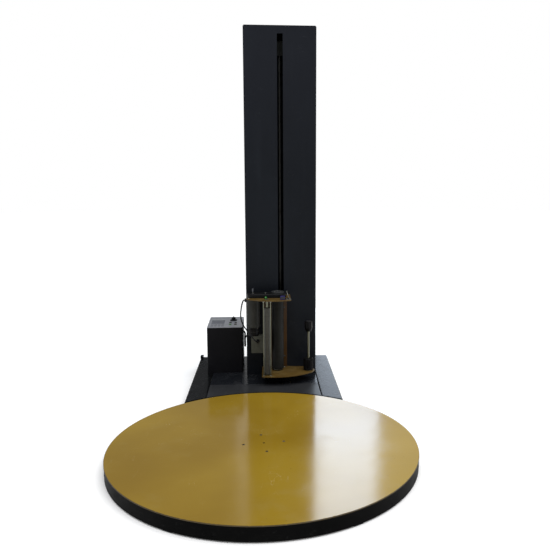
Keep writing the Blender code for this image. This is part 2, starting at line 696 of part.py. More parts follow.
def make_mast():
    """The folded mast with its front slot, foot plate, top cap and rear cover."""
    path = [(MAST_LEFT + MAST_RETURN, MAST_REAR), (MAST_LEFT, MAST_REAR), (MAST_LEFT, MAST_FRONT),
            (MAST_RIGHT, MAST_FRONT), (MAST_RIGHT, MAST_REAR), (MAST_RIGHT - MAST_RETURN, MAST_REAR)]
    shell_top = MAST_TOP - CAP_THICKNESS - GAP
    shell = open_sheet("mast_shell", path, MAST_FOOT, shell_top, MAST_WALL, DARK_STEEL)
    cut(shell, block("slot_cutter", (MAST_CENTRE_X - SLOT_WIDTH / 2, MAST_FRONT - CUT_REACH, SLOT_BOTTOM),
                     (MAST_CENTRE_X + SLOT_WIDTH / 2, MAST_FRONT + CUT_REACH, SLOT_TOP)))
    block("mast_top_cap", (MAST_LEFT, MAST_FRONT, MAST_TOP - CAP_THICKNESS),
          (MAST_RIGHT, MAST_REAR, MAST_TOP), DARK_STEEL)
    inset = MAST_WALL + GAP
    foot = block("mast_foot_plate", (MAST_LEFT + inset, MAST_FRONT + inset, MAST_FOOT),
                 (MAST_RIGHT - inset, MAST_REAR - inset, MAST_FOOT + FOOT_PLATE), DARK_STEEL)
    cut(foot, upright_cutter("foot_cutter", SHAFT_HOLE, (DRIVE_X, DRIVE_Y)))
    block("mast_rear_cover", (MAST_LEFT + REAR_COVER_MARGIN, MAST_REAR + GAP, MAST_FOOT + REAR_COVER_MARGIN),
          (MAST_RIGHT - REAR_COVER_MARGIN, MAST_REAR + GAP + REAR_COVER_WALL, MAST_TOP - REAR_COVER_TOP_GAP),
          DARK_STEEL)


def make_guide_rail(name, side):
    """A channel that opens towards the mast's centre and guides the trolley's wheels."""
    outer = MAST_CENTRE_X + side * RAIL_OUTER
    inner = outer - side * RAIL_FLANGE
    path = [(inner, RAIL_FRONT), (outer, RAIL_FRONT), (outer, RAIL_REAR), (inner, RAIL_REAR)]
    low = MAST_FOOT + FOOT_PLATE + GAP
    open_sheet(name, path[::side], low, RAIL_TOP, RAIL_WALL, STEEL)


# Lift drive

def make_lift_drive():
    """The lift gearmotor with its sprocket, the lower sprocket on its bracket, and the chain."""
    x = MAST_CENTRE_X
    plate_front = RAIL_REAR + GAP
    plate_back = plate_front + BRACKET_PLATE
    low_z = LIFT_HIGH_Z - LIFT_BOX_HALF_HEIGHT
    high_z = LIFT_HIGH_Z + LIFT_BOX_HALF_HEIGHT
    gearmotor = block("lift_gearmotor", (x - RAIL_OUTER, plate_front, low_z),
                      (x + RAIL_OUTER, plate_back, high_z), GREY_MOTOR)
    reach = LIFT_Y + LIFT_BOX_REACH
    motor_x = (LIFT_BOX_X[0] + LIFT_BOX_X[1]) / 2
    join(gearmotor,
         block("lift_box_lump", (LIFT_BOX_X[0], plate_back - OVERLAP, low_z), (LIFT_BOX_X[1], reach, high_z)),
         rod("lift_motor_lump", LIFT_MOTOR_RADIUS, (motor_x, LIFT_Y, low_z - LIFT_MOTOR_LENGTH),
             (motor_x, LIFT_Y, low_z + OVERLAP)))
    cut(gearmotor, rod("lift_bore_cutter", LIFT_SHAFT + GAP, (LIFT_BOX_X[0] - CUT_REACH, LIFT_Y, LIFT_HIGH_Z),
                       (LIFT_BOX_X[1] + CUT_REACH, LIFT_Y, LIFT_HIGH_Z)))
    outline = sprocket_outline(CHAIN_PITCH, LIFT_TEETH)
    upper = flat("upper_lift_sprocket", [outline], SPROCKET_WIDTH / 2, DARK_STEEL, None,
                 (x, LIFT_Y, LIFT_HIGH_Z), ALONG_X)
    join(upper, rod("lift_shaft_lump", LIFT_SHAFT, (x - 0.012, LIFT_Y, LIFT_HIGH_Z),
                    (LIFT_BOX_X[1], LIFT_Y, LIFT_HIGH_Z)))
    flat("lower_lift_sprocket", [outline, circle(TROLLEY_PIN + GAP)], SPROCKET_WIDTH / 2, DARK_STEEL, None,
         (x, LIFT_Y, LIFT_LOW_Z), ALONG_X)
    bracket = block("lower_sprocket_bracket", (x - RAIL_OUTER, plate_front, LIFT_LOW_Z - BRACKET_HALF_HEIGHT),
                    (x + RAIL_OUTER, plate_back, LIFT_LOW_Z + BRACKET_HALF_HEIGHT), DARK_STEEL)
    lumps = []
    for side in (-1, 1):
        near = x + side * BRACKET_EAR_GAP
        far = near + side * BRACKET_PLATE
        low = (min(near, far), plate_back - OVERLAP, LIFT_LOW_Z - BRACKET_EAR_HALF_HEIGHT)
        high = (max(near, far), LIFT_Y + BRACKET_EAR_REACH, LIFT_LOW_Z + BRACKET_EAR_HALF_HEIGHT)
        lumps.append(block("bracket_ear_lump", low, high))
    pin_reach = BRACKET_EAR_GAP + BRACKET_PLATE / 2
    lumps.append(rod("bracket_pin_lump", TROLLEY_PIN, (x - pin_reach, LIFT_Y, LIFT_LOW_Z),
                     (x + pin_reach, LIFT_Y, LIFT_LOW_Z)))
    join(bracket, *lumps)
    chain("lift_chain", (LIFT_Y, LIFT_LOW_Z), (LIFT_Y, LIFT_HIGH_Z), CHAIN_PITCH, (LIFT_TEETH, LIFT_TEETH),
          (x, 0, 0), ALONG_X, None)


def make_trolley(body):
    """The trolley inside the mast, with the arm through the slot and the clamp on the chain."""
    x = MAST_CENTRE_X
    half = TROLLEY_PLATE / 2
    trolley = block("trolley", (x - TROLLEY_HALF_WIDTH, RAIL_MIDDLE - half, TROLLEY_BOTTOM),
                    (x + TROLLEY_HALF_WIDTH, RAIL_MIDDLE + half, TROLLEY_TOP), DARK_STEEL, body)
    arm_front = BACK_PLATE_FRONT + PLATE + GAP
    chain_front = LIFT_Y - pitch_radius(CHAIN_PITCH, LIFT_TEETH) - CHAIN_HALF_THICKNESS
    lumps = [
        block("arm_bar_lump", (x - ARM_THICKNESS / 2, arm_front, ARM_BOTTOM),
              (x + ARM_THICKNESS / 2, RAIL_MIDDLE, ARM_TOP)),
        block("arm_flange_lump", (x - ARM_FLANGE / 2, arm_front, ARM_BOTTOM - ARM_FLANGE_MARGIN),
              (x + ARM_FLANGE / 2, arm_front + ARM_FLANGE_WALL, ARM_TOP + ARM_FLANGE_MARGIN)),
        block("clamp_lump", (x - CLAMP_WIDTH / 2, RAIL_MIDDLE, CLAMP_BOTTOM),
              (x + CLAMP_WIDTH / 2, chain_front - GAP, CLAMP_TOP))]
    pin_reach = TROLLEY_WHEEL_X + TROLLEY_WHEEL_WIDTH / 2
    for height in TROLLEY_WHEEL_HEIGHTS:
        lumps.append(rod("trolley_pin_lump", TROLLEY_PIN, (x - pin_reach, RAIL_MIDDLE, height),
                         (x + pin_reach, RAIL_MIDDLE, height), sides=16))
    join(trolley, *lumps)


def make_trolley_wheels():
    """Four wheels, two in each guide rail."""
    half = TROLLEY_WHEEL_WIDTH / 2
    bore = TROLLEY_PIN + GAP
    radius = TROLLEY_WHEEL_RADIUS
    profile = [(radius, half), (radius, -half), (bore, -half), (bore, half)]
    for side, side_name in ((-1, "left"), (1, "right")):
        for height, height_name in zip(TROLLEY_WHEEL_HEIGHTS, ("lower", "upper")):
            place = (MAST_CENTRE_X + side * TROLLEY_WHEEL_X, RAIL_MIDDLE, height)
            turned(f"trolley_wheel_{side_name}_{height_name}", profile, NYLON, None, place, ALONG_X,
                   sides=24, ring=True)


# Control cabinet

def panel_height(y):
    """Height of the cabinet's sloping top edge at a place from front to rear."""
    share = (y - CABINET_FRONT) / (CABINET_REAR - CABINET_FRONT)
    return CABINET_FRONT_TOP + share * (CABINET_REAR_TOP - CABINET_FRONT_TOP)


def make_cabinet():
    """The cabinet's shell, rear cover, sloping control panel and the inverter inside."""
    base = TABLE_TOP + GAP
    path = [(CABINET_LEFT, CABINET_REAR), (CABINET_LEFT, CABINET_FRONT), (CABINET_RIGHT, CABINET_FRONT),
            (CABINET_RIGHT, CABINET_REAR)]
    shell = open_sheet("cabinet_shell", path, base, CABINET_FRONT_TOP, CABINET_WALL, BLACK_PAINT)
    for vertex in shell.data.vertices:
        if vertex.co.z > CABINET_FRONT_TOP / 2:
            vertex.co.z = panel_height(vertex.co.y)
    rear = CABINET_REAR + GAP
    block("cabinet_rear_cover", (CABINET_LEFT, rear, base),
          (CABINET_RIGHT, rear + CABINET_WALL, CABINET_REAR_TOP), BLACK_PAINT)
    slope = math.atan2(CABINET_REAR_TOP - CABINET_FRONT_TOP, CABINET_REAR - CABINET_FRONT)
    depth = (CABINET_REAR - CABINET_FRONT) / math.cos(slope)
    lift = GAP + PANEL_THICKNESS / 2
    work = bmesh.new()
    bmesh.ops.create_cube(work, size=1.0)
    bmesh.ops.scale(work, vec=(CABINET_RIGHT - CABINET_LEFT, depth, PANEL_THICKNESS), verts=work.verts)
    middle_y = (CABINET_FRONT + CABINET_REAR) / 2
    middle = Vector(((CABINET_LEFT + CABINET_RIGHT) / 2, middle_y, panel_height(middle_y)))
    normal = Vector((0, -math.sin(slope), math.cos(slope)))
    panel = add("control_panel", mesh_from(work, "control_panel"), SILVER, None, middle + lift * normal,
                (slope, 0, 0))
    switch_y = CABINET_FRONT + SWITCH_PLACE[1]
    foot = Vector((CABINET_LEFT + SWITCH_PLACE[0], switch_y, panel_height(switch_y)))
    stem = SWITCH_RADIUS * 0.3
    cut(panel, rod("stem_cutter", stem + GAP, foot - CUT_REACH * normal, foot + CUT_REACH * normal, sides=16))
    seat = 2 * GAP + PANEL_THICKNESS
    grip_base = seat + SWITCH_HEIGHT
    switch = turned("main_switch_knob", [(0, grip_base), (SWITCH_RADIUS * 0.9, grip_base),
                    (SWITCH_RADIUS, seat), (stem, seat), (stem, -SWITCH_STEM_DEPTH), (0, -SWITCH_STEM_DEPTH)],
                    PLASTIC, None, foot, (slope, 0, 0), sides=24)
    wide, long, tall = SWITCH_GRIP
    grip = block("grip_lump", (-wide / 2, -long / 2, grip_base - OVERLAP),
                 (wide / 2, long / 2, grip_base + tall))
    grip.matrix_world = Matrix.Translation(foot) @ Matrix.Rotation(slope, 4, "X") @ grip.matrix_basis
    join(switch, grip)
    width, depth, height = INVERTER_SIZE
    middle_x = (CABINET_LEFT + CABINET_RIGHT) / 2
    block("inverter", (middle_x - width / 2, rear - GAP - depth, base + INVERTER_LIFT),
          (middle_x + width / 2, rear - GAP, base + INVERTER_LIFT + height), LIGHT_GREY)


def make_power_lead():
    """The lead that loops down in the gap between the cabinet and the mast."""
    start = CABINET_RIGHT + GAP
    end = MAST_LEFT - GAP
    middle = (start + end) / 2
    route = [(start, 1.345, 0.385), (start + 0.006, 1.345, 0.385), (middle, 1.345, 0.372),
             (middle, 1.342, 0.335), (middle, 1.350, 0.290), (middle, 1.375, 0.262), (middle, 1.400, 0.280),
             (middle, 1.410, 0.318), (end - 0.006, 1.412, 0.333), (end, 1.412, 0.333)]
    tube("power_lead", smooth_route(route, 0.012), LEAD_RADIUS, PLASTIC)


# Film carriage

def make_plates(body):
    """The two yellow shelves and the plate that joins them at the back."""
    rear = BACK_PLATE_FRONT + PLATE
    x, y = SPOOL_PLACE
    low_outline = arc_through((LOW_PLATE_LEFT, LOW_PLATE_FRONT[0]), (LOW_PLATE_BELLY, LOW_PLATE_FRONT[1]),
                              (x + 0.025, y - 0.049), 12)
    low_outline += arc_through((x + 0.032, y - 0.035), (x + 0.044, y), (x + 0.025, y + 0.050), 6)
    low_outline += [(x - 0.020, y + 0.085), (BACK_PLATE_X[1] + 0.010, rear), (LOW_PLATE_LEFT, rear)]
    high_outline = arc_through((HIGH_PLATE_X[0], HIGH_PLATE_FRONT[0]), (HIGH_PLATE_BELLY, HIGH_PLATE_FRONT[1]),
                               (HIGH_PLATE_X[1], HIGH_PLATE_FRONT[2]), 14)
    high_outline += [(HIGH_PLATE_X[1], rear), (HIGH_PLATE_X[0], rear)]
    idler_hole = circle(IDLER_SHAFT + GAP, IDLER_PLACE, 24)
    feed_hole = circle(FEED_SHAFT + GAP, FEED_PLACE, 24)
    motor_hole = circle(MOTOR_SHAFT + GAP, MOTOR_PLACE, 24)
    flat("carriage_bottom_plate", [low_outline, idler_hole, feed_hole], PLATE / 2, YELLOW, body,
         (0, 0, LOW_PLATE_TOP - PLATE / 2))
    flat("carriage_top_plate", [high_outline, idler_hole, feed_hole, motor_hole], PLATE / 2, YELLOW, body,
         (0, 0, HIGH_PLATE_TOP - PLATE / 2))
    block("carriage_back_plate", (BACK_PLATE_X[0], BACK_PLATE_FRONT, LOW_PLATE_TOP + GAP),
          (BACK_PLATE_X[1], rear, HIGH_PLATE_UNDER - GAP), YELLOW, body)


def roller_profile(radius, top, shaft, shaft_top):
    """A sleeve on a shaft that runs through both shelves, standing on a boss on the low one."""
    sleeve = LOW_PLATE_TOP + ROLLER_LIFT
    boss = shaft + 0.005
    return [(0, shaft_top), (shaft, shaft_top), (shaft, top), (radius, top), (radius, sleeve), (boss, sleeve),
            (boss, LOW_PLATE_TOP + GAP), (shaft, LOW_PLATE_TOP + GAP), (shaft, LOW_PLATE_UNDER),
            (0, LOW_PLATE_UNDER)]


def make_rollers(feed_body, idler_body):
    """The driven rubber roller with its sprocket, and the free idler roller."""
    turned("idler_roller", roller_profile(IDLER_RADIUS, IDLER_TOP, IDLER_SHAFT, HIGH_PLATE_TOP), LIGHT_GREY,
           idler_body, (*IDLER_PLACE, 0))
    shaft_top = FEED_CHAIN_Z + SPROCKET_WIDTH / 2 + FEED_SHAFT_END
    turned("feed_roller", roller_profile(FEED_RADIUS, FEED_TOP, FEED_SHAFT, shaft_top), RUBBER, feed_body,
           (*FEED_PLACE, 0))
    sprocket = flat("roller_sprocket", [sprocket_outline(FEED_PITCH, ROLLER_TEETH), circle(FEED_SHAFT + GAP)],
                    SPROCKET_WIDTH / 2, DARK_STEEL, feed_body, (*FEED_PLACE, FEED_CHAIN_Z))
    collar_low = HIGH_PLATE_TOP + GAP - FEED_CHAIN_Z
    bore = FEED_SHAFT + GAP
    collar = turned("collar_lump", [(SHAFT_BOSS, 0), (SHAFT_BOSS, collar_low), (bore, collar_low), (bore, 0)],
                    None, None, (*FEED_PLACE, FEED_CHAIN_Z), ring=True)
    join(sprocket, collar)


def make_feed_drive(body, motor_body):
    """The motor under the top shelf, its sprocket, the feed chain and the chain cover."""
    x, y = MOTOR_PLACE
    top = HIGH_PLATE_UNDER - GAP
    motor = turned("feed_motor", [(0, top), (MOTOR_RADIUS, top), (MOTOR_RADIUS, MOTOR_BOTTOM),
                   (MOTOR_END_RADIUS, MOTOR_BOTTOM), (MOTOR_END_RADIUS, MOTOR_END_BOTTOM),
                   (0, MOTOR_END_BOTTOM)], GREY_MOTOR, body, (x, y, 0))
    boss = MOTOR_BOSS_WIDTH / 2
    join(motor, block("boss_lump", (MOTOR_BOSS_X[0], y - boss, top - MOTOR_BOSS_Z[0]),
                      (MOTOR_BOSS_X[1], y + boss, top - MOTOR_BOSS_Z[1])))
    shaft_end = top - MOTOR_SHAFT_DEPTH
    cut(motor, rod("motor_bore_cutter", MOTOR_SHAFT + GAP, (x, y, shaft_end), (x, y, top + CUT_REACH)))
    sprocket = flat("motor_sprocket", [sprocket_outline(FEED_PITCH, MOTOR_TEETH)], SPROCKET_WIDTH / 2,
                    DARK_STEEL, motor_body, (x, y, FEED_CHAIN_Z))
    join(sprocket, rod("motor_shaft_lump", MOTOR_SHAFT, (x, y, shaft_end + GAP), (x, y, FEED_CHAIN_Z)))
    chain("feed_chain", FEED_PLACE, MOTOR_PLACE, FEED_PITCH, (ROLLER_TEETH, MOTOR_TEETH),
          (0, 0, FEED_CHAIN_Z), (0, 0, 0), body)
    room = CHAIN_HALF_THICKNESS + COVER_CLEARANCE + COVER_WALL
    radii = [pitch_radius(FEED_PITCH, teeth) + room for teeth in (ROLLER_TEETH, MOTOR_TEETH)]
    outline = belt_loop(FEED_PLACE, radii[0], MOTOR_PLACE, radii[1])
    base = HIGH_PLATE_TOP + GAP
    middle = base + COVER_HEIGHT / 2
    cover = flat("chain_cover", [outline], COVER_HEIGHT / 2, BLACK_PAINT, body, (0, 0, middle))
    inner_radii = [radius - COVER_WALL for radius in radii]
    inner = belt_loop(FEED_PLACE, inner_radii[0], MOTOR_PLACE, inner_radii[1])
    hollow = flat("cover_cutter", [inner], COVER_HEIGHT / 2, None, None, (0, 0, middle - COVER_WALL))
    cut(cover, hollow)
    cap_base = base + COVER_HEIGHT - COVER_WALL / 2
    join(cover, rod("cap_lump", CAP_RADIUS, (*FEED_PLACE, cap_base), (*FEED_PLACE, cap_base + CAP_HEIGHT)))


def make_wiring(body):
    """The junction box under the motor, its gland and the motor's cable."""
    top = MOTOR_END_BOTTOM - GAP
    block("junction_box", (BOX_X[0], BOX_Y[0], top - BOX_HEIGHT), (BOX_X[1], BOX_Y[1], top), LIGHT_GREY, body)
    gland_z = top - GLAND_DROP
    gland_front = BOX_Y[0] - GAP - GLAND_LENGTH
    rod("cable_gland", GLAND_RADIUS, (GLAND_X, BOX_Y[0] - GAP, gland_z), (GLAND_X, gland_front, gland_z),
        PLASTIC, body, sides=24)
    end = (GLAND_X, gland_front - GAP, gland_z)
    boss_z = HIGH_PLATE_UNDER - 0.015
    route = [(MOTOR_BOSS_X[0] - GAP, MOTOR_PLACE[1], boss_z), (-0.138, MOTOR_PLACE[1], boss_z),
             (-0.146, 1.095, 0.643), (-0.153, 1.088, 0.612), (-0.158, 1.076, 0.556), (-0.146, 1.062, 0.505),
             (-0.114, 1.040, 0.458), (-0.080, 1.020, 0.418), (-0.054, 1.003, 0.391),
             (GLAND_X, 1.016, gland_z), end]
    tube("carriage_cable", smooth_route(route, 0.018), CABLE_RADIUS, PLASTIC, body)


def make_small_pieces(body):
    """The two upright guide bars and the leaning sensor bracket."""
    for name, (x, y) in zip(("guide_bar_left", "guide_bar_right"), BAR_PLACES):
        rod(name, BAR_RADIUS, (x, y, LOW_PLATE_TOP + GAP), (x, y, HIGH_PLATE_UNDER - GAP), STEEL, body,
            sides=16)
    base = HIGH_PLATE_TOP + GAP
    width, depth, wall = SENSOR_FOOT
    right = HIGH_PLATE_X[1]
    front = SENSOR_FRONT
    bracket = block("sensor_bracket", (right - width, front, base), (right, front + depth, base + wall),
                    SILVER, body)
    work = bmesh.new()
    bmesh.ops.create_cube(work, size=1.0)
    bmesh.ops.scale(work, vec=(wall, depth, SENSOR_HEIGHT), verts=work.verts)
    lean = Matrix.Rotation(SENSOR_LEAN, 3, "Y")
    root = Vector((right - SENSOR_PLATE_INSET, front + depth / 2, base + wall / 2))
    middle = root + lean @ Vector((0, 0, SENSOR_HEIGHT / 2))
    plate = add("bracket_lump", mesh_from(work, "bracket_lump"), None, None, middle, (0, SENSOR_LEAN, 0))
    join(bracket, plate)


def make_spool(body, spool_body):
    """The fixed post, the hub that turns with the film core and the knob that lifts off."""
    place = (*SPOOL_PLACE, 0)
    foot_low = LOW_PLATE_TOP + GAP
    foot_high = foot_low + SPOOL_FOOT
    collar_top = KNOB_BOTTOM - GAP
    collar_low = collar_top - SPOOL_COLLAR
    pin_top = collar_top + SPOOL_PIN_LENGTH
    turned("spool_post", [(0, pin_top), (SPOOL_PIN_RADIUS, pin_top), (SPOOL_PIN_RADIUS, collar_top),
                          (SPOOL_COLLAR_RADIUS, collar_top), (SPOOL_COLLAR_RADIUS, collar_low),
                          (SPOOL_ROD_RADIUS, collar_low), (SPOOL_ROD_RADIUS, foot_high),
                          (SPOOL_FOOT_RADIUS, foot_high), (SPOOL_FOOT_RADIUS, foot_low), (0, foot_low)],
           STEEL, body, place)
    hub_low = foot_high + GAP
    bore = SPOOL_ROD_RADIUS + GAP
    turned("spool_hub", [(SPOOL_HUB_RADIUS - HUB_EDGE[0], SPOOL_HUB_TOP),
                         (SPOOL_HUB_RADIUS, SPOOL_HUB_TOP - HUB_EDGE[1]),
                         (SPOOL_HUB_RADIUS, hub_low), (bore, hub_low), (bore, SPOOL_HUB_TOP)],
           PLASTIC, spool_body, place, ring=True)
    knob_top = KNOB_BOTTOM + KNOB_HEIGHT
    knob_bore = SPOOL_PIN_RADIUS + GAP
    bore_top = pin_top + KNOB_HEADROOM
    turned("spool_knob", [(0, knob_top), (KNOB_RADIUS - KNOB_EDGE, knob_top),
                          (KNOB_RADIUS, knob_top - KNOB_EDGE),
                          (KNOB_RADIUS, KNOB_BOTTOM + KNOB_CONE), (KNOB_NECK_RADIUS, KNOB_BOTTOM),
                          (knob_bore, KNOB_BOTTOM), (knob_bore, bore_top), (0, bore_top)],
           PLASTIC, body, place)


def main():
    for item in list(bpy.data.objects):
        bpy.data.objects.remove(item)
    bpy.context.scene.collection.children.link(scene_parts)
    bpy.context.scene.collection.children.link(scene_cutters)
    turntable = body_empty("turntable_axis", (0, 0, 0))
    carriage = body_empty("carriage_slide", (MAST_CENTRE_X, RAIL_MIDDLE, LOW_PLATE_TOP))
    feed = body_empty("feed_roller_axis", (*FEED_PLACE, LOW_PLATE_TOP))
    motor = body_empty("motor_axis", (*MOTOR_PLACE, HIGH_PLATE_TOP))
    idler = body_empty("idler_axis", (*IDLER_PLACE, LOW_PLATE_TOP))
    spool = body_empty("spool_axis", (*SPOOL_PLACE, LOW_PLATE_TOP))
    make_turntable(turntable)
    make_bed()
    make_support_wheels()
    make_rear_base()
    make_turntable_drive()
    make_mast()
    make_guide_rail("guide_rail_left", -1)
    make_guide_rail("guide_rail_right", 1)
    make_lift_drive()
    make_trolley(carriage)
    make_trolley_wheels()
    make_cabinet()
    make_power_lead()
    make_plates(carriage)
    make_rollers(feed, idler)
    make_feed_drive(carriage, motor)
    make_wiring(carriage)
    make_small_pieces(carriage)
    make_spool(carriage, spool)


main()
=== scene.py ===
"""Looks of the turntable pallet wrapper: its finishes, its fine pieces, a plain studio and the camera."""

import math
from itertools import product

import bmesh
import bpy
from mathutils import Matrix, Vector


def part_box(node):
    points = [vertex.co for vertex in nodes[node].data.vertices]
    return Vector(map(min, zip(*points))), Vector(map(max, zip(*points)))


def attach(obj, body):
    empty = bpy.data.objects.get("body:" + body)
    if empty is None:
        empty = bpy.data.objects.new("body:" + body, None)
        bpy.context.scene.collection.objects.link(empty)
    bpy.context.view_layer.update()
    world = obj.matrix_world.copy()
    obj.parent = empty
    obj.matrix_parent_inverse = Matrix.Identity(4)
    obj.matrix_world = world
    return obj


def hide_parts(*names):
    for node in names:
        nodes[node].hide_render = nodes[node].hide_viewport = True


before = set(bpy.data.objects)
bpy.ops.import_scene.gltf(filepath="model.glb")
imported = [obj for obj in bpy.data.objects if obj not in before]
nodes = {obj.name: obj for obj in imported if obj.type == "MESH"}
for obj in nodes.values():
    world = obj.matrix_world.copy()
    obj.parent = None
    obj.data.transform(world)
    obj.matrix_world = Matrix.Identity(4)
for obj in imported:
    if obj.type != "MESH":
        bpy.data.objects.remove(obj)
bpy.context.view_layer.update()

# Sizes that the fine pieces share, in metres
GAP = 0.0003
TABLE_RADIUS = 0.825
TABLE_TOP = 0.080
ARC_RADIUS = 0.840
MEMBER_WALL = 0.005
MEMBER_START = 0.600
STUD_CIRCLE = 0.110
STUD_TURN = 8.4
SKIRT_WALL = 0.004
CHAIN_SLOT = (-0.090, 0.225)
CHAIN_SLOT_LOW = 0.0524
SLOT_X = (0.110, 0.150)
SLOT_Z = (0.120, 2.495)
SPOOL = (0.320, 1.105)
FEED = (0.1025, 1.120)
IDLER = (0.026, 1.000)
MOTOR = (-0.071, 1.100)
GUIDE_RODS = ((0.002, 0.9665), (0.050, 0.9665))
CABINET_FRONT = 1.300
CABINET_REAR = 1.630
CABINET_FRONT_TOP = 0.420
CABINET_REAR_TOP = 0.430
PANEL_THICKNESS = 0.004
SWITCH_ON_PANEL = (0.185, 0.215)
FEED_PITCH = 0.0127
FEED_TEETH = 25
MOTOR_TEETH = 15
IDLER_RADIUS = 0.025
IDLER_TOP = 0.627
FEED_RADIUS = 0.041
FEED_TOP = 0.663
SLEEVE_FOOT = 0.158
SHELF_FACE = 0.1503
MOTOR_RADIUS = 0.049
MOTOR_END_RADIUS = 0.040
MOTOR_STEP = 0.470
COVER_HEIGHT = 0.027
CAP_RADIUS = 0.046
COLLAR_TOP = 0.4327
ROUTE_STEP = 0.006
POINT = 0.000001

UP, DOWN, FRONT, REAR = (0, 0, 1), (0, 0, -1), (0, -1, 0), (0, 1, 0)
# Turns a flat shape's x and y into the machine's x and z, and into its y and z
FACING_REAR = Matrix(((1, 0, 0, 0), (0, 0, 1, 0), (0, 1, 0, 0), (0, 0, 0, 1)))
FACING_SIDE = Matrix(((0, 0, 1, 0), (1, 0, 0, 0), (0, 1, 0, 0), (0, 0, 0, 1)))
TIPPED = Matrix.Rotation(math.radians(90), 4, "X")


# Finishes

def srgb(red, green, blue):
    """A colour given as it looks on a screen, from 0 to 255."""
    parts = [value / 255 for value in (red, green, blue)]
    return (*[part / 12.92 if part <= 0.04045 else ((part + 0.055) / 1.055) ** 2.4 for part in parts], 1.0)


def lift(tone, gain=1.0, step=0):
    """A lighter or darker tone."""
    return [min(255, value * gain + step) for value in tone]


class Value:
    """A number that a node gives, so that a finish is written as sums."""

    def __init__(self, finish, socket):
        self.finish = finish
        self.socket = socket

    def __add__(self, other):
        return self.finish.maths("ADD", self, other)

    def __sub__(self, other):
        return self.finish.maths("SUBTRACT", self, other)

    def __rsub__(self, other):
        return self.finish.maths("SUBTRACT", other, self)

    def __mul__(self, other):
        return self.finish.maths("MULTIPLY", self, other)

    def __abs__(self):
        return self.finish.maths("ABSOLUTE", self)

    __radd__ = __add__
    __rmul__ = __mul__

    def band(self, low, high):
        """0 below low and 1 above high with a soft step between, or the other way round if low is larger."""
        made = self.finish.node("MapRange", {"interpolation_type": "SMOOTHSTEP"},
                                {"Value": self, "From Min": min(low, high), "From Max": max(low, high),
                                 "To Min": float(low > high), "To Max": float(low < high)})
        return Value(self.finish, made.outputs[0])


class Finish:
    """A material that is built up from nodes."""

    def __init__(self, name):
        self.material = bpy.data.materials.new(name)
        self.material.use_nodes = True
        self.tree = self.material.node_tree
        self.shader = self.tree.nodes["Principled BSDF"]
        self.place = self.node("TexCoord").outputs["Object"]

    def node(self, kind, settings=None, inputs=None):
        """A shader node with its settings, and a value or a link for each named or numbered socket."""
        made = self.tree.nodes.new("ShaderNode" + kind)
        for name, value in (settings or {}).items():
            setattr(made, name, value)
        for key, value in (inputs or {}).items():
            self.feed(made.inputs[key], value)
        return made

    def feed(self, socket, value):
        if isinstance(value, Value):
            value = value.socket
        if isinstance(value, bpy.types.NodeSocket):
            self.tree.links.new(value, socket)
        else:
            socket.default_value = value

    def maths(self, operation, first, second=0.0):
        made = self.node("Math", {"operation": operation}, {0: first, 1: second})
        return Value(self, made.outputs[0])

    def stretched(self, scale):
        """The place on the machine with each axis scaled by itself."""
        return self.node("VectorMath", {"operation": "MULTIPLY"}, {0: self.place, 1: scale}).outputs[0]

    def noise(self, scale, detail=3.0, rough=0.5, stretch=(1, 1, 1), wander=0.0):
        made = self.node("TexNoise", None, {"Vector": self.stretched(stretch), "Scale": scale,
                                            "Detail": detail, "Roughness": rough, "Distortion": wander})
        return Value(self, made.outputs["Fac"])

    def mottle(self, scale, detail=4.0, rough=0.6, stretch=(1, 1, 1)):
        """Soft patches, from 0 to 1."""
        return self.noise(scale, detail, rough, stretch).band(0.30, 0.75)

    def cells(self, scale):
        made = self.node("TexVoronoi", None, {"Vector": self.place, "Scale": scale})
        return Value(self, made.outputs["Distance"])

    def height(self):
        split = self.node("SeparateXYZ", None, {0: self.place})
        return Value(self, split.outputs["Z"])

    def from_axis(self):
        """Distance from the turntable's axis."""
        flat = self.stretched((1, 1, 0))
        return Value(self, self.node("VectorMath", {"operation": "LENGTH"}, {0: flat}).outputs["Value"])

    def upward(self):
        """1 on faces that look up, 0 on upright ones."""
        split = self.node("SeparateXYZ", None, {0: self.node("NewGeometry").outputs["Normal"]})
        return Value(self, split.outputs["Z"]).band(0.3, 0.9)

    def blend(self, first, second, share):
        made = self.node("Mix", {"data_type": "RGBA"}, {0: share, 6: first, 7: second})
        return made.outputs[2]

    def ground(self, low_tone, high_tone, share):
        """The finish's own colour, between two tones."""
        self.colour = self.blend(srgb(*low_tone), srgb(*high_tone), share)

    def over(self, tone, share):
        """Lays a tone over the colour."""
        self.colour = self.blend(self.colour, srgb(*tone), share)

    def scratches(self, scale, stretch, width=0.010):
        """Thin wandering lines."""
        lines = abs(self.noise(scale, 2.0, 0.4, stretch, 0.6) - 0.5).band(width, 0.0)
        return lines * self.noise(scale * 1.7, 2.0, 0.5).band(0.45, 0.70)

    def peel(self, scale):
        """The fine waves of sprayed paint."""
        return self.noise(scale, 2.0, 0.4)

    def finish(self, *bumps, **sockets):
        """Sets the shader's sockets and its bumps, each a height and its depth, and gives the material."""
        sockets["Base_Color"] = self.colour
        for height, depth in bumps:
            inputs = {"Height": height, "Distance": depth, "Strength": 1.0}
            if "Normal" in sockets:
                inputs["Normal"] = sockets["Normal"]
            sockets["Normal"] = self.node("Bump", None, inputs).outputs[0]
        for name, value in sockets.items():
            self.feed(self.shader.inputs[name.replace("_", " ")], value)
        return self.material


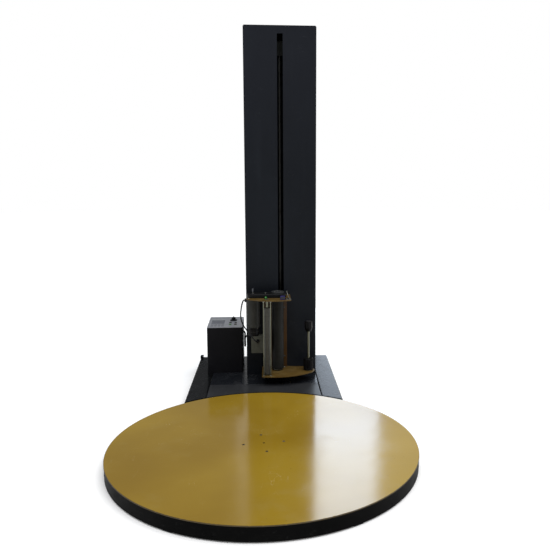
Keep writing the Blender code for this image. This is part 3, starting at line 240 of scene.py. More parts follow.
def turntable_enamel():
    """Glossy yellow enamel with orange peel, dust, hairlines from pallets, a thin darker line round the rim,
    and painted shade darkening its upright edge.
    """
    f = Finish("turntable_enamel")
    f.ground((133, 105, 26), (151, 123, 36), f.noise(1.1, 3.0, 0.55).band(0.30, 0.72))
    dust = f.noise(5.0, 6.0, 0.65).band(0.50, 0.80) * f.upward()
    f.over((150, 130, 72), dust * 0.24)
    hairlines = f.scratches(5.0, (1.0, 6.0, 1.0), 0.006) + f.scratches(4.0, (5.0, 1.2, 1.0), 0.005)
    f.over((178, 160, 112), hairlines * 0.16)
    specks = f.cells(26.0).band(0.10, 0.05) * f.noise(2.3, 2.0).band(0.52, 0.62)
    f.over((92, 72, 34), specks * 0.45)
    # A thin darker ring just inside the disc's edge, broken up by noise
    rim = f.from_axis().band(0.8222, 0.8240) * f.noise(70.0, 4.0, 0.6).band(0.25, 0.50)
    f.over((70, 56, 24), rim * 0.85)
    # Painted shade: upright faces, such as the disc's edge, are darkened as if turned away from the light
    side = 1 - f.upward()
    f.over((56, 43, 10), side * 0.80)
    scuffed = f.noise(2.0, 5.0, 0.7, (1, 1, 1), 0.8).band(0.45, 0.75)
    waves = f.noise(4.5, 2.0, 0.5)
    return f.finish((waves, 0.0008), (f.peel(130.0), 0.00003), (hairlines, -0.00002),
                    Roughness=0.14 + scuffed * 0.05 + dust * 0.08 + hairlines * 0.12 + side * 0.50)


def shelf_enamel(name, low_tone, high_tone):
    """An older, browner yellow on the carriage's shelves, with rubbed edges and dusty flats."""
    f = Finish(name)
    f.ground(low_tone, high_tone, f.mottle(14.0))
    dust = f.noise(22.0, 5.0, 0.65).band(0.45, 0.75) * f.upward()
    f.over((122, 110, 78), dust * 0.28)
    rub = f.scratches(24.0, (1.0, 1.0, 3.0))
    f.over((66, 50, 26), rub * 0.50)
    stain = f.noise(9.0, 3.0, 0.6, (1, 1, 0.4)).band(0.56, 0.72)
    f.over((66, 46, 22), stain * 0.45)
    return f.finish((f.peel(260.0), 0.00004), (rub, -0.00003),
                    Roughness=0.30 + dust * 0.22 + stain * 0.10, Specular_IOR_Level=0.22)


def black_enamel(name="black_enamel", tone=(4, 4, 4), gloss=0.50, shine=0.03):
    """Black paint with dust, rubbed patches and a fine peel."""
    f = Finish(name)
    f.ground(tone, lift(tone, 1, 4), f.mottle(5.0))
    dust = f.noise(13.0, 6.0, 0.7).band(0.50, 0.80)
    f.over((52, 50, 46), dust * 0.08 + f.upward() * dust * 0.14)
    rub = f.scratches(11.0, (1.0, 1.0, 4.0), 0.008)
    f.over((60, 60, 60), rub * 0.30)
    return f.finish((f.peel(240.0), 0.00005), (rub, -0.00003),
                    Roughness=gloss + dust * 0.18 - rub * 0.06, Specular_IOR_Level=shine)


def mast_powder_coat():
    """Blue-black powder coat: fine grain, long soft waves, faint runs, rubbed streaks, and a paler top that
    is painted light.
    """
    f = Finish("mast_powder_coat")
    mottle = f.mottle(2.4, 4.0, 0.6, (1, 1, 0.5))
    f.ground((17, 20, 25), (22, 26, 32), mottle)
    runs = f.noise(16.0, 4.0, 0.6, (1.0, 1.0, 0.06)).band(0.52, 0.80)
    f.over((40, 44, 50), runs * 0.18)
    low = f.height().band(0.75, 0.10) * f.noise(7.0, 5.0, 0.7).band(0.40, 0.70)
    f.over((48, 47, 46), low * 0.24)
    # Painted light: the upper mast is made paler, as if lit more from high windows
    f.over((33, 35, 42), f.height().band(1.20, 2.50) * 0.55)
    f.over((70, 72, 76), f.scratches(6.0, (1.0, 1.0, 5.0), 0.006) * 0.22)
    grain = f.noise(420.0, 2.0, 0.5)
    waves = f.noise(2.2, 1.0, 0.4, (1, 1, 0.5))
    return f.finish((waves, 0.0012), (grain, 0.00006),
                    Roughness=0.44 + mottle * 0.05 + low * 0.12 + runs * 0.05, Specular_IOR_Level=0.12)


def deck_enamel(name="deck_enamel", tone=(21, 23, 27), gloss=0.25, shine=0.11):
    """Glossy dark deck paint, walked on: scuffs, dull patches, dust and hairlines."""
    f = Finish(name)
    f.ground(tone, lift(tone, 1, 6), f.mottle(3.5, 5.0, 0.65))
    patches = f.noise(5.0, 6.0, 0.7, (1, 1, 1), 1.2).band(0.46, 0.70) * f.upward()
    f.over((62, 64, 68), patches * 0.16)
    footmarks = f.noise(11.0, 3.0, 0.6, (1.0, 0.5, 1.0), 0.8).band(0.58, 0.70) * f.upward()
    f.over((76, 76, 76), footmarks * 0.12)
    hairlines = f.scratches(6.0, (1.0, 5.0, 1.0), 0.008) + f.scratches(5.0, (5.0, 1.0, 1.0), 0.006)
    f.over((92, 94, 98), hairlines * 0.25)
    waves = f.noise(5.0, 2.0, 0.4)
    return f.finish((waves, 0.0002), (f.peel(170.0), 0.00002), (hairlines, -0.00002),
                    Roughness=gloss + patches * 0.05 + footmarks * 0.04, Specular_IOR_Level=shine)


def bare_steel(name, tone, gloss, metal, brushed, oil=0.0):
    """Steel that is zinc plated, ground or oiled, brushed along one axis."""
    f = Finish(name)
    streaks = f.noise(60.0, 3.0, 0.6, brushed)
    f.ground(lift(tone, 0.86), tone, streaks.band(0.35, 0.65))
    f.over(lift(tone, 1.08), f.cells(95.0).band(0.20, 0.60) * 0.35)
    grime = f.noise(26.0, 5.0, 0.65).band(0.50, 0.78)
    f.over((44, 40, 34), grime * (0.22 + oil))
    return f.finish((streaks, 0.00003),
                    Metallic=metal - grime * 0.3 * metal, Roughness=gloss + streaks * 0.12 + grime * 0.18)


def cast_grey(name="motor_cast", tone=(45, 46, 43)):
    """Painted aluminium casting with a pebbled skin and patches of grime."""
    f = Finish(name)
    f.ground(tone, lift(tone, 1, 6), f.mottle(18.0))
    grime = f.noise(30.0, 5.0, 0.7, (1, 1, 0.5)).band(0.48, 0.76)
    f.over((24, 23, 21), grime * 0.22)
    pebble = f.noise(330.0, 3.0, 0.6)
    return f.finish((pebble, 0.00010), Roughness=0.44 + grime * 0.16, Metallic=0.15, Specular_IOR_Level=0.25)


def moulded(name, tone, gloss, grain=0.00005, wear=0.3, shine=0.15):
    """Moulded plastic or painted plate with a fine spark grain, rubbed lighter in places."""
    f = Finish(name)
    f.ground(tone, lift(tone, 1, 10), f.mottle(20.0, 3.0))
    rubbed = f.noise(44.0, 4.0, 0.65).band(0.56, 0.74)
    f.over(lift(tone, 1.25, 14), rubbed * wear)
    spark = f.noise(520.0, 2.0, 0.5)
    return f.finish((spark, grain), Roughness=gloss - rubbed * 0.08, Specular_IOR_Level=shine)


def roller_rubber():
    """Ground rubber: fine rings round the roller, chalky dust and film marks."""
    f = Finish("roller_rubber")
    rings = f.noise(70.0, 2.0, 0.5, (0.04, 0.04, 8.0))
    f.ground((19, 20, 18), (28, 29, 27), rings.band(0.35, 0.65))
    chalk = f.noise(17.0, 5.0, 0.7, (1, 1, 0.35)).band(0.46, 0.78)
    f.over((66, 66, 61), chalk * 0.20)
    return f.finish((rings, 0.00012), (f.noise(300.0, 2.0), 0.00004),
                    Roughness=0.52 + chalk * 0.16, Specular_IOR_Level=0.20)


def membrane_panel():
    """Silver membrane of the control panel: fine metallic grain and thumb marks."""
    f = Finish("membrane_panel")
    grain = f.noise(600.0, 2.0, 0.6)
    f.ground((131, 133, 138), (150, 152, 158), grain)
    thumb = f.noise(22.0, 4.0, 0.6).band(0.50, 0.74)
    f.over((84, 84, 86), thumb * 0.25)
    return f.finish((grain, 0.00002), Roughness=0.34 + thumb * 0.16, Metallic=0.20, Specular_IOR_Level=0.30)


def lamp_green():
    """A faceted green lens."""
    f = Finish("lamp_green")
    facets = f.cells(260.0)
    f.ground((28, 92, 30), (60, 140, 54), facets.band(0.1, 0.6))
    return f.finish((facets, 0.0002), Roughness=0.18 + facets * 0.1, Coat_Weight=0.4 + facets * 0.2)


ENAMEL = turntable_enamel()
SHELF = shelf_enamel("shelf_enamel", (80, 61, 27), (94, 75, 36))
# Painted shade: the plate behind the shelves gets the shelves' yellow, darkened and browned as if in shadow
SHADED_BACK_SHELF = shelf_enamel("back_enamel_painted_shade", (64, 42, 19), (74, 50, 24))
BLACK = black_enamel()
CABINET = black_enamel("cabinet_enamel", (17, 17, 20), 0.48, 0.09)
COVER = black_enamel("cover_enamel", (14, 14, 15), 0.42, 0.15)
MAST = mast_powder_coat()
# Painted reflection: the deck gets a darker copy of the base paint than the bridge, standing for the mast's
# dark reflection in it
DECK_PAINTED_REFLECTION = deck_enamel()
BRIDGE = deck_enamel("bridge_enamel", (39, 40, 42), 0.34, 0.08)
# Painted shade: the side members get a darker copy of the deck paint, to look as dark as they do with less
# light reflected
SHADED_FORK_TUBE = deck_enamel("fork_tube_enamel_painted_shade", (10, 11, 12), 0.26, 0.05)
ZINC = bare_steel("zinc_plate", (138, 138, 131), 0.30, 0.85, (1, 1, 0.08))
BRIGHT = bare_steel("ground_shaft", (112, 113, 98), 0.24, 0.90, (1, 1, 0.05))
OILED = bare_steel("oiled_steel", (74, 74, 72), 0.36, 0.70, (0.3, 0.3, 1), 0.2)
SLEEVE = bare_steel("aluminium_sleeve", (72, 72, 67), 0.38, 0.40, (0.1, 0.1, 3.0))
CAST = cast_grey()
GEAR_CAST = cast_grey("gear_case", (46, 47, 48))
BOX_GREY = moulded("box_grey", (70, 71, 63), 0.50, 0.00006, 0.25)
BLACK_PLASTIC = moulded("black_plastic", (7, 7, 8), 0.44, 0.00005, 0.2, 0.10)
KNOB_CAP = moulded("knob_cap", (30, 30, 32), 0.38)
CABLE = moulded("cable_jacket", (13, 13, 14), 0.40, 0.00003)
NYLON = moulded("wheel_nylon", (186, 184, 174), 0.46)
SENSOR_BLUE = moulded("sensor_blue", (44, 40, 92), 0.34)
KEY_GREY = moulded("key_grey", (98, 100, 105), 0.36, 0.00002, 0.2)
KEY_DARK = moulded("display_dark", (34, 37, 42), 0.20, 0.00001, 0.1, 0.3)
DISPLAY = moulded("display_film", (88, 91, 98), 0.24, 0.00001, 0.1, 0.3)
LABEL_PALE = moulded("label_pale", (176, 178, 174), 0.45, 0.00002, 0.2)
RUBBER = roller_rubber()
MEMBRANE = membrane_panel()
LAMP = lamp_green()


# Shapes

def soften(points, radius, steps=4, closed=False):
    """A line of points with its corners rounded."""
    result = []
    last = len(points) - 1
    for index, point in enumerate(points):
        here = Vector(point)
        if not closed and index in (0, last):
            result.append(tuple(here))
            continue
        before = Vector(points[index - 1]) - here
        after = Vector(points[0 if index == last else index + 1]) - here
        half = before.angle(after) / 2
        reach = min(radius / math.tan(half), before.length * 0.48, after.length * 0.48)
        if half > 1.5 or reach < 1e-6:
            result.append(tuple(here))
            continue
        start = here + before.normalized() * reach
        end = here + after.normalized() * reach
        for step in range(steps + 1):
            t = step / steps
            result.append(tuple((1 - t) ** 2 * start + 2 * t * (1 - t) * here + t * t * end))
    return result


def around(middle, radius, degrees):
    """The point at an angle on a circle in plan."""
    turn = math.radians(degrees)
    return middle[0] + radius * math.cos(turn), middle[1] + radius * math.sin(turn)


def ring_angles(sides):
    return [2 * math.pi * step / sides for step in range(sides)]


def ring_of(radius, height=0.0, sides=64, place=(0, 0)):
    """The points of a level ring."""
    return [(place[0] + radius * math.cos(a), place[1] + radius * math.sin(a), height)
            for a in ring_angles(sides)]


def flat_ring(radius, place=(0, 0), sides=48):
    """A round outline or hole for a plate."""
    return [point[:2] for point in ring_of(radius, 0, sides, place)]


def ripple(sides, waves, depth, start=0.0):
    """A groove depth for each side of a ring, in waves."""
    return [depth * (0.5 - 0.5 * math.cos(waves * a + start)) for a in ring_angles(sides)]


def fluted(profile, grooves):
    """Rings from (radius, height, share) points, each cut by its share of the grooves."""
    return [[(x * (radius - share * groove), y * (radius - share * groove), height)
             for (x, y), groove in zip(flat_ring(1.0, sides=len(grooves)), grooves)]
            for radius, height, share in profile]


def rectangle(low_x, low_y, high_x, high_y, radius=0.0):
    """A square or rounded outline for a plate."""
    corners = [(low_x, low_y), (high_x, low_y), (high_x, high_y), (low_x, high_y)]
    return soften(corners, radius, 4, True) if radius else corners


def facing(place, toward):
    """The frame of something that stands at a place and looks along a direction."""
    turn = Vector(toward).to_track_quat("Z", "Y").to_matrix().to_4x4()
    return Matrix.Translation(place) @ turn


def smooth_route(points):
    """Closely spaced points on a smooth curve through the route's own points."""
    places = [Vector(point) for point in points]
    ends = [2 * places[0] - places[1]] + places + [2 * places[-1] - places[-2]]
    route = []
    for a, b, c, d in zip(ends, ends[1:], ends[2:], ends[3:]):
        count = max(1, round((c - b).length / ROUTE_STEP))
        for index in range(count):
            t = index / count
            route.append(0.5 * (2 * b + (c - a) * t + (2 * a - 5 * b + 4 * c - d) * t * t
                                + (3 * b - a - 3 * c + d) * t * t * t))
    route.append(places[-1])
    return route


def arc_through(first, middle, last, steps):
    """Points on the arc that runs through three points."""
    ax, ay = first
    bx, by = middle
    cx, cy = last
    double = 2 * (ax * (by - cy) + bx * (cy - ay) + cx * (ay - by))
    squares = [x * x + y * y for x, y in (first, middle, last)]
    mid_x = (squares[0] * (by - cy) + squares[1] * (cy - ay) + squares[2] * (ay - by)) / double
    mid_y = (squares[0] * (cx - bx) + squares[1] * (ax - cx) + squares[2] * (bx - ax)) / double
    radius = math.hypot(ax - mid_x, ay - mid_y)
    begin = math.atan2(ay - mid_y, ax - mid_x)
    sweep = (math.atan2(cy - mid_y, cx - mid_x) - begin) % (2 * math.pi)
    through = math.atan2(by - mid_y, bx - mid_x) - begin
    if through % (2 * math.pi) > sweep:
        sweep -= 2 * math.pi
    turns = [begin + sweep * step / steps for step in range(steps + 1)]
    return [(mid_x + radius * math.cos(a), mid_y + radius * math.sin(a)) for a in turns]


def placed(name, data):
    """A new object in the scene."""
    item = bpy.data.objects.new(name, data)
    bpy.context.scene.collection.objects.link(item)
    return item


def evaluated(data, wall=0.0):
    """What a curve or a mesh gives as a solid, thickened inwards to a wall if one is asked for."""
    guide = placed("guide", data)
    if wall:
        skin = guide.modifiers.new("wall", "SOLIDIFY")
        skin.thickness = wall
        skin.offset = -1
        skin.use_even_offset = True
    bpy.context.view_layer.update()
    mesh = bpy.data.meshes.new_from_object(guide.evaluated_get(bpy.context.evaluated_depsgraph_get()))
    bpy.data.objects.remove(guide)
    part = bmesh.new()
    part.from_mesh(mesh)
    bpy.data.meshes.remove(mesh)
    return part


class Piece:
    """Solid shapes gathered into one object, each with the finish that is in hand."""

    def __init__(self, finish, node=None):
        self.node = node
        self.work = bmesh.new()
        self.finishes = [finish]
        self.layer = 0

    def use(self, finish):
        if finish not in self.finishes:
            self.finishes.append(finish)
        self.layer = self.finishes.index(finish)
        return self

    def take(self, part, place=None):
        """Adds one closed shape."""
        if place is not None:
            bmesh.ops.transform(part, matrix=place, verts=part.verts)
        bmesh.ops.recalc_face_normals(part, faces=part.faces)
        for face in part.faces:
            face.material_index = self.layer
            face.smooth = True
        mesh = bpy.data.meshes.new("shape")
        part.to_mesh(mesh)
        part.free()
        self.work.from_mesh(mesh)
        bpy.data.meshes.remove(mesh)
        return self

    def loft(self, rings, place=None, closed=False):
        """A skin over rings of as many points each, with its ends filled."""
        part = bmesh.new()
        made = [[part.verts.new(point) for point in ring] for ring in rings]
        for one, two in zip(made, made[1:] + (made[:1] if closed else [])):
            for a, b, c, d in zip(one, one[1:] + one[:1], two[1:] + two[:1], two):
                part.faces.new((a, b, c, d))
        if not closed:
            part.faces.new(made[0])
            part.faces.new(made[-1])
        bmesh.ops.remove_doubles(part, verts=part.verts, dist=0.000002)
        return self.take(part, place)

    def lathe(self, profile, place=None, sides=64, closed=False):
        """A turned shape from (radius, height) points."""
        rings = [ring_of(max(radius, POINT), height, sides) for radius, height in profile]
        return self.loft(rings, place, closed)

    def tube(self, bore, radius, low, high, edge, place, sides):
        """A turned tube with chamfered outer edges."""
        return self.lathe([(bore, low), (radius - edge, low), (radius, low + edge), (radius, high - edge),
                           (radius - edge, high), (bore, high)], place, sides, True)

    def rod(self, radius, start, end, sides=48, edge=0.0005):
        """A round bar with eased ends."""
        along = Vector(end) - Vector(start)
        profile = [(0, 0), (radius - edge, 0), (radius, edge), (radius, along.length - edge),
                   (radius - edge, along.length), (0, along.length)]
        return self.lathe(profile, facing(start, along), sides)

    def plate(self, loops, low, high, edge=0.0006, place=None):
        """A flat plate from an outline and any holes, with eased edges."""
        curve = bpy.data.curves.new("plate", "CURVE")
        curve.dimensions = "2D"
        curve.fill_mode = "BOTH"
        curve.extrude = (high - low) / 2 - edge
        curve.bevel_depth = edge
        curve.bevel_resolution = 1
        curve.offset = -edge
        for loop in loops:
            self.spline(curve, [(x, y, 0) for x, y in loop]).use_cyclic_u = True
        raised = Matrix.Translation((0, 0, (low + high) / 2))
        return self.curve(curve, raised if place is None else place @ raised)

    def spline(self, curve, points):
        spline = curve.splines.new("POLY")
        spline.points.add(len(points) - 1)
        for place, point in zip(spline.points, points):
            place.co = (*point, 1)
        return spline

    def curve(self, curve, place=None):
        part = evaluated(curve)
        bmesh.ops.remove_doubles(part, verts=part.verts, dist=0.000005)
        return self.take(part, place)

    def block(self, low, high, edge=0.001):
        """A box with eased edges."""
        part = bmesh.new()
        bmesh.ops.create_cube(part, size=1.0)
        size = [b - a for a, b in zip(low, high)]
        bmesh.ops.scale(part, vec=size, verts=part.verts)
        bmesh.ops.translate(part, vec=[(a + b) / 2 for a, b in zip(low, high)], verts=part.verts)
        bmesh.ops.bevel(part, geom=part.edges, offset=min(edge, min(size) * 0.45), segments=2, profile=0.5,
                        affect="EDGES")
        return self.take(part)

    def wire(self, points, radius, sides=16):
        """A round cord through points."""
        curve = bpy.data.curves.new("wire", "CURVE")
        curve.dimensions = "3D"
        curve.bevel_depth = radius
        curve.bevel_resolution = sides // 4 - 1
        curve.use_fill_caps = True
        self.spline(curve, points)
        return self.curve(curve)

    def sheet(self, path, levels, wall, missing=()):
        """A folded sheet: its outer side as a path in plan, raised through levels and thickened inwards."""
        part = bmesh.new()
        rows = [[part.verts.new((x, y, level(y) if callable(level) else level)) for x, y in path]
                for level in levels]
        for row, (low, high) in enumerate(zip(rows, rows[1:])):
            for column in range(len(path) - 1):
                if (column, row) not in missing:
                    part.faces.new((low[column], low[column + 1], high[column + 1], high[column]))
        mesh = bpy.data.meshes.new("sheet")
        part.to_mesh(mesh)
        part.free()
        return self.take(evaluated(mesh, wall))

    def screw(self, place, toward, radius, height, sunk=False):
        """A socket screw's head: domed, or countersunk flush."""
        sides = 24

        def hexagon(level):
            points = []
            for a in ring_angles(sides):
                reach = radius * 0.52 * math.cos(math.pi / 6) / math.cos(a % (math.pi / 3) - math.pi / 6)
                points.append((reach * math.cos(a), reach * math.sin(a), level))
            return points

        shoulder = height * (0.9 if sunk else 0.55)
        crown = radius * (0.94 if sunk else 0.72)
        floor = height - radius * 0.6
        rings = [ring_of(radius, 0, sides), ring_of(radius, shoulder, sides), ring_of(crown, height, sides),
                 hexagon(height), hexagon(floor), ring_of(POINT, floor, sides)]
        if sunk:
            rings.insert(0, ring_of(radius * 0.5, -radius * 0.7, sides))
        return self.loft(rings, facing(place, toward))

    def screws(self, places, *head):
        for place in places:
            self.screw(place, *head)

    def nut(self, place, toward, across, height):
        """A hexagon nut with its chamfer."""
        radius = across / math.sqrt(3)
        rings = [ring_of(radius, 0, 6), ring_of(radius, height * 0.82, 6), ring_of(radius * 0.90, height, 6)]
        return self.loft(rings, facing(place, toward))

    def louvres(self, places, turn, length, rise=0.0035):
        """Pressed vents in the form of long shallow lenses."""
        for place in places:
            part = bmesh.new()
            bmesh.ops.create_uvsphere(part, u_segments=24, v_segments=12, radius=1.0)
            bmesh.ops.scale(part, vec=(length / 2, 0.0055, rise), verts=part.verts)
            self.take(part, Matrix.Translation(place) @ turn)

    def gathered(self, name):
        """The shapes so far as one object with their finishes."""
        mesh = bpy.data.meshes.new(name)
        self.work.to_mesh(mesh)
        self.work.free()
        for finish in self.finishes:
            mesh.materials.append(finish)
        return placed(name, mesh)

    def made(self, name, body, slot):
        """The finished object, which rides on a body and stands for the piece's node."""
        piece = self.gathered(name)
        piece.data.set_sharp_from_angle(angle=math.radians(32))
        shading = piece.modifiers.new("even_shading", "WEIGHTED_NORMAL")
        shading.keep_sharp = True
        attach(piece, body)
        if self.node:
            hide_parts(self.node)


def piece_for(node, finish):
    """A new piece that stands for a node, and the low and high corners of the node's box."""
    return Piece(finish, node), *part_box(node)


def keep(finish, *names):
    """CAD nodes that keep their shape and get a finish."""
    for name in names:
        mesh = nodes[name].data
        mesh.materials.clear()
        mesh.materials.append(finish)


# Turntable and skirt

def make_turntable():
    """The disc with its rolled edge, centre hole and four flush screws, and the skirt under it."""
    disc, low, high = piece_for("turntable_plate", ENAMEL)
    screws = [around((0, 0), STUD_CIRCLE, STUD_TURN + 90 * index) for index in range(4)]
    loops = [flat_ring(TABLE_RADIUS, sides=288), flat_ring(0.006, sides=24)]
    loops += [flat_ring(0.0073, place, 24) for place in screws]
    disc.plate(loops, low.z, high.z, 0.0012)
    disc.made("turntable_disc", "turntable", "yellow_paint")

    hub = Piece(OILED, "turntable_hub")
    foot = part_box("turntable_hub")[0].z
    flange = low.z - GAP
    hub.lathe([(0.0253, foot), (0.045, foot), (0.045, flange - 0.008), (0.139, flange - 0.008),
               (0.140, flange - 0.007), (0.140, flange), (0.0253, flange)], closed=True)
    for x, y in screws:
        hub.rod(0.0045, (x, y, flange - 0.004), (x, y, high.z - 0.006), 24)
        hub.screw((x, y, high.z - 0.0048), UP, 0.0070, 0.0045, True)
    hub.made("bearing_hub", "turntable", "dark_steel")

    skirt, low, high = piece_for("bed_skirt", BLACK)
    outer = high.x
    inner = outer - SKIRT_WALL
    edge = 0.0012
    skirt.lathe([(inner, low.z), (outer - edge, low.z), (outer, low.z + edge), (outer, CHAIN_SLOT_LOW),
                 (inner, CHAIN_SLOT_LOW)], None, 288, True)
    begin = math.degrees(math.atan2(outer, CHAIN_SLOT[0]))
    sweep = 360 - begin + math.degrees(math.atan2(outer, CHAIN_SLOT[1]))
    steps = 272
    section = ((inner, CHAIN_SLOT_LOW), (outer, CHAIN_SLOT_LOW), (outer, high.z), (inner, high.z))
    skirt.loft([[(*around((0, 0), radius, begin + sweep * step / steps), z) for radius, z in section]
                for step in range(steps + 1)])
    for angle in range(15, 360, 30):
        if angle != 75:
            skirt.screw((*around((0, 0), outer - 0.0006, angle), 0.022), (*around((0, 0), 1, angle), 0),
                        0.0045, 0.0016)
    skirt.made("turntable_skirt", "base", "black_paint")


# Rear base

def make_side_member(name, node, outward, lug):
    """A rounded hollow side member, mitred round the turntable, with or without a lug on its rear corner."""
    member, low, high = piece_for(node, SHADED_FORK_TUBE)
    outside = []
    outline = rectangle(low.x, 0.0, high.x, TABLE_TOP, 0.009)
    for (ax, az), (bx, bz) in zip(outline, outline[1:] + outline[:1]):
        count = max(1, round(abs(bx - ax) / 0.006))
        outside += [(ax + (bx - ax) * i / count, az + (bz - az) * i / count) for i in range(count)]
    inside = [(min(max(x, low.x + MEMBER_WALL), high.x - MEMBER_WALL),
               min(max(z, MEMBER_WALL), TABLE_TOP - MEMBER_WALL)) for x, z in outside]
    ease = 0.0008
    eased = [(x + ease * (abs(x - low.x) < 0.002) - ease * (abs(high.x - x) < 0.002), z) for x, z in outside]

    def front(loop, shift=0.0):
        return [(x, max(math.sqrt(ARC_RADIUS ** 2 - x * x) + shift, MEMBER_START), z) for x, z in loop]

    def rear(loop, shift=0.0):
        return [(x, high.y - shift, z) for x, z in loop]

    member.loft([front(inside), front(eased), front(outside, ease), rear(outside, ease), rear(eased),
                 rear(inside)], closed=True)
    if lug:
        width, depth, rise = 0.022, 0.050, 0.020
        root = TABLE_TOP - 0.002
        profile = soften([(high.y - depth, root), (high.y - depth, TABLE_TOP + rise),
                          (high.y, TABLE_TOP + rise), (high.y, root)], 0.006, 5)
        eye = flat_ring(0.0055, (high.y - depth / 2, TABLE_TOP + rise / 2), 20)
        member.plate([profile, eye], low.x, low.x + width, ease, FACING_SIDE)
    weld = (high.x if outward < 0 else low.x) + outward * 0.002
    member.use(OILED).wire([(weld, y, TABLE_TOP - 0.0005) for y in (1.10, 1.16)], 0.0012, 8)
    member.made(name, "base", "dark_paint")


def make_rear_base():
    """Deck and bridge sheets with flush screws, and the ribs under them."""
    make_side_member("fork_tube_left", "side_member_left", -1, True)
    make_side_member("fork_tube_right", "side_member_right", 1, False)
    flush = (UP, 0.0060, 0.0006, True)
    deck, low, high = piece_for("deck_plate", DECK_PAINTED_REFLECTION)
    shaft = flat_ring(0.018, (0.130, 1.470), 32)
    deck.plate([rectangle(low.x, low.y, high.x, high.y, 0.001), shaft], low.z, high.z, 0.0008)
    deck.use(ZINC)
    deck.screws([(x, y, high.z - 0.0006) for x, y in
                 product((low.x + 0.020, high.x - 0.020), (low.y + 0.022, 1.180, high.y - 0.022))], *flush)
    deck.screw((-0.177, 1.660, high.z), UP, 0.0050, 0.0030)
    deck.made("deck_sheet", "base", "dark_paint")

    bridge, low, high = piece_for("bridge_cover", BRIDGE)
    steps = 72
    across = [low.x + (high.x - low.x) * step / steps for step in range(steps + 1)]
    arc = [(x, math.sqrt(ARC_RADIUS ** 2 - x * x)) for x in across]
    bridge.plate([arc + [(high.x, high.y), (low.x, high.y)]], 0.074, high.z, 0.0008)
    for x in (-0.300, 0.300):
        bridge.block((x - 0.005, 0.860, low.z), (x + 0.005, 1.000, 0.0745), 0.0005)
    bridge.use(ZINC)
    bridge.screws([(x, high.y - 0.020, high.z - 0.0006)
                   for x in (low.x + 0.020, -0.130, 0.130, high.x - 0.020)], *flush)
    bridge.made("bridge_sheet", "base", "dark_paint")


# Mast

def make_mast():
    """The folded mast with its hemmed slot, lid and vented rear panel."""
    mast, low, high = piece_for("mast_shell", MAST)
    returned = 0.040
    path = soften([(high.x - returned, high.y), (high.x, high.y), (high.x, low.y), (low.x, low.y),
                   (low.x, high.y), (low.x + returned, high.y)], 0.007, 5)
    split = 1 + next(index for index, (one, two) in enumerate(zip(path, path[1:]))
                     if abs(one[1] - low.y) < 1e-5 and abs(two[1] - low.y) < 1e-5)
    path[split:split] = [(SLOT_X[1], low.y), (SLOT_X[0], low.y)]
    mast.sheet(path, [low.z, *SLOT_Z, high.z], 0.004, {(split, 1)})
    for x in (SLOT_X[0] - 0.0045, SLOT_X[1] + 0.0005):
        mast.block((x, low.y + 0.003, SLOT_Z[0] - 0.004), (x + 0.004, low.y + 0.018, SLOT_Z[1] + 0.004),
                   0.0008)
    mast.use(ZINC)
    for z, (x, out) in product((0.140, 0.900, 1.700, high.z - 0.040), ((low.x, -1), (high.x, 1))):
        mast.screw((x, high.y - 0.030, z), (out, 0, 0), 0.0055, 0.0030)
    mast.made("mast_column", "base", "dark_paint")

    lid, low, high = piece_for("mast_top_cap", MAST)
    lid.plate([rectangle(low.x, low.y, high.x, high.y, 0.007)], low.z, high.z, 0.0014)
    lid.made("mast_lid", "base", "dark_paint")

    panel, low, high = piece_for("mast_rear_cover", MAST)
    panel.plate([rectangle(low.x, low.z, high.x, high.z, 0.006)], low.y, high.y, 0.0010, FACING_REAR)
    middle = (low.x + high.x) / 2
    panel.louvres([(middle + side * 0.060, high.y - 0.0002, start + row * 0.024)
                   for start, row, side in product((0.300, 2.180), range(8), (-1, 1))], TIPPED, 0.090)
    panel.use(ZINC)
    rows = (low.z + 0.020, 0.70, 1.30, 1.90, high.z - 0.020)
    panel.screws([(x, high.y, z) for z, x in product(rows, (low.x + 0.015, high.x - 0.015))],
                 REAR, 0.0055, 0.0028)
    panel.made("mast_back_panel", "base", "dark_paint")


# Control cabinet

def panel_height(y):
    """The height of the cabinet's sloping top."""
    share = (y - CABINET_FRONT) / (CABINET_REAR - CABINET_FRONT)
    return CABINET_FRONT_TOP + share * (CABINET_REAR_TOP - CABINET_FRONT_TOP)


def make_cabinet():
    """The folded cabinet and its vented back."""
    shell, low, high = piece_for("cabinet_shell", CABINET)
    screw = (0.0045, 0.0025)
    rise = 0.0030
    path = soften([(high.x, high.y), (high.x, low.y), (low.x, low.y), (low.x, high.y)], 0.005, 4)
    shell.sheet(path, [low.z, (low.z + 0.30) / 2, panel_height], 0.002)
    shell.louvres([(low.x + 0.0002, 1.480, 0.150 + row * 0.022) for row in range(6)],
                  Matrix.Rotation(math.radians(90), 4, "Z") @ TIPPED, 0.110, rise)
    shell.use(ZINC)
    sides = ((low.x, -1), (high.x, 1))
    for z, y, (x, out) in product((0.110, 0.380), (low.y + 0.025, high.y - 0.025), sides):
        shell.screw((x, y, z), (out, 0, 0), *screw)
    shell.made("cabinet_housing", "base", "black_paint")

    cover, low, high = piece_for("cabinet_rear_cover", CABINET)
    cover.plate([rectangle(low.x, low.z, high.x, high.z, 0.003)], low.y, high.y, 0.0005, FACING_REAR)
    middle = (low.x + high.x) / 2
    cover.louvres([(middle, high.y - 0.0002, 0.160 + row * 0.022) for row in range(7)], TIPPED, 0.130, rise)
    cover.use(ZINC)
    rows = (low.z + 0.015, high.z - 0.015)
    cover.screws([(x, high.y, z) for z, x in product(rows, (low.x + 0.015, high.x - 0.015))], REAR, *screw)
    cover.made("cabinet_back", "base", "black_paint")


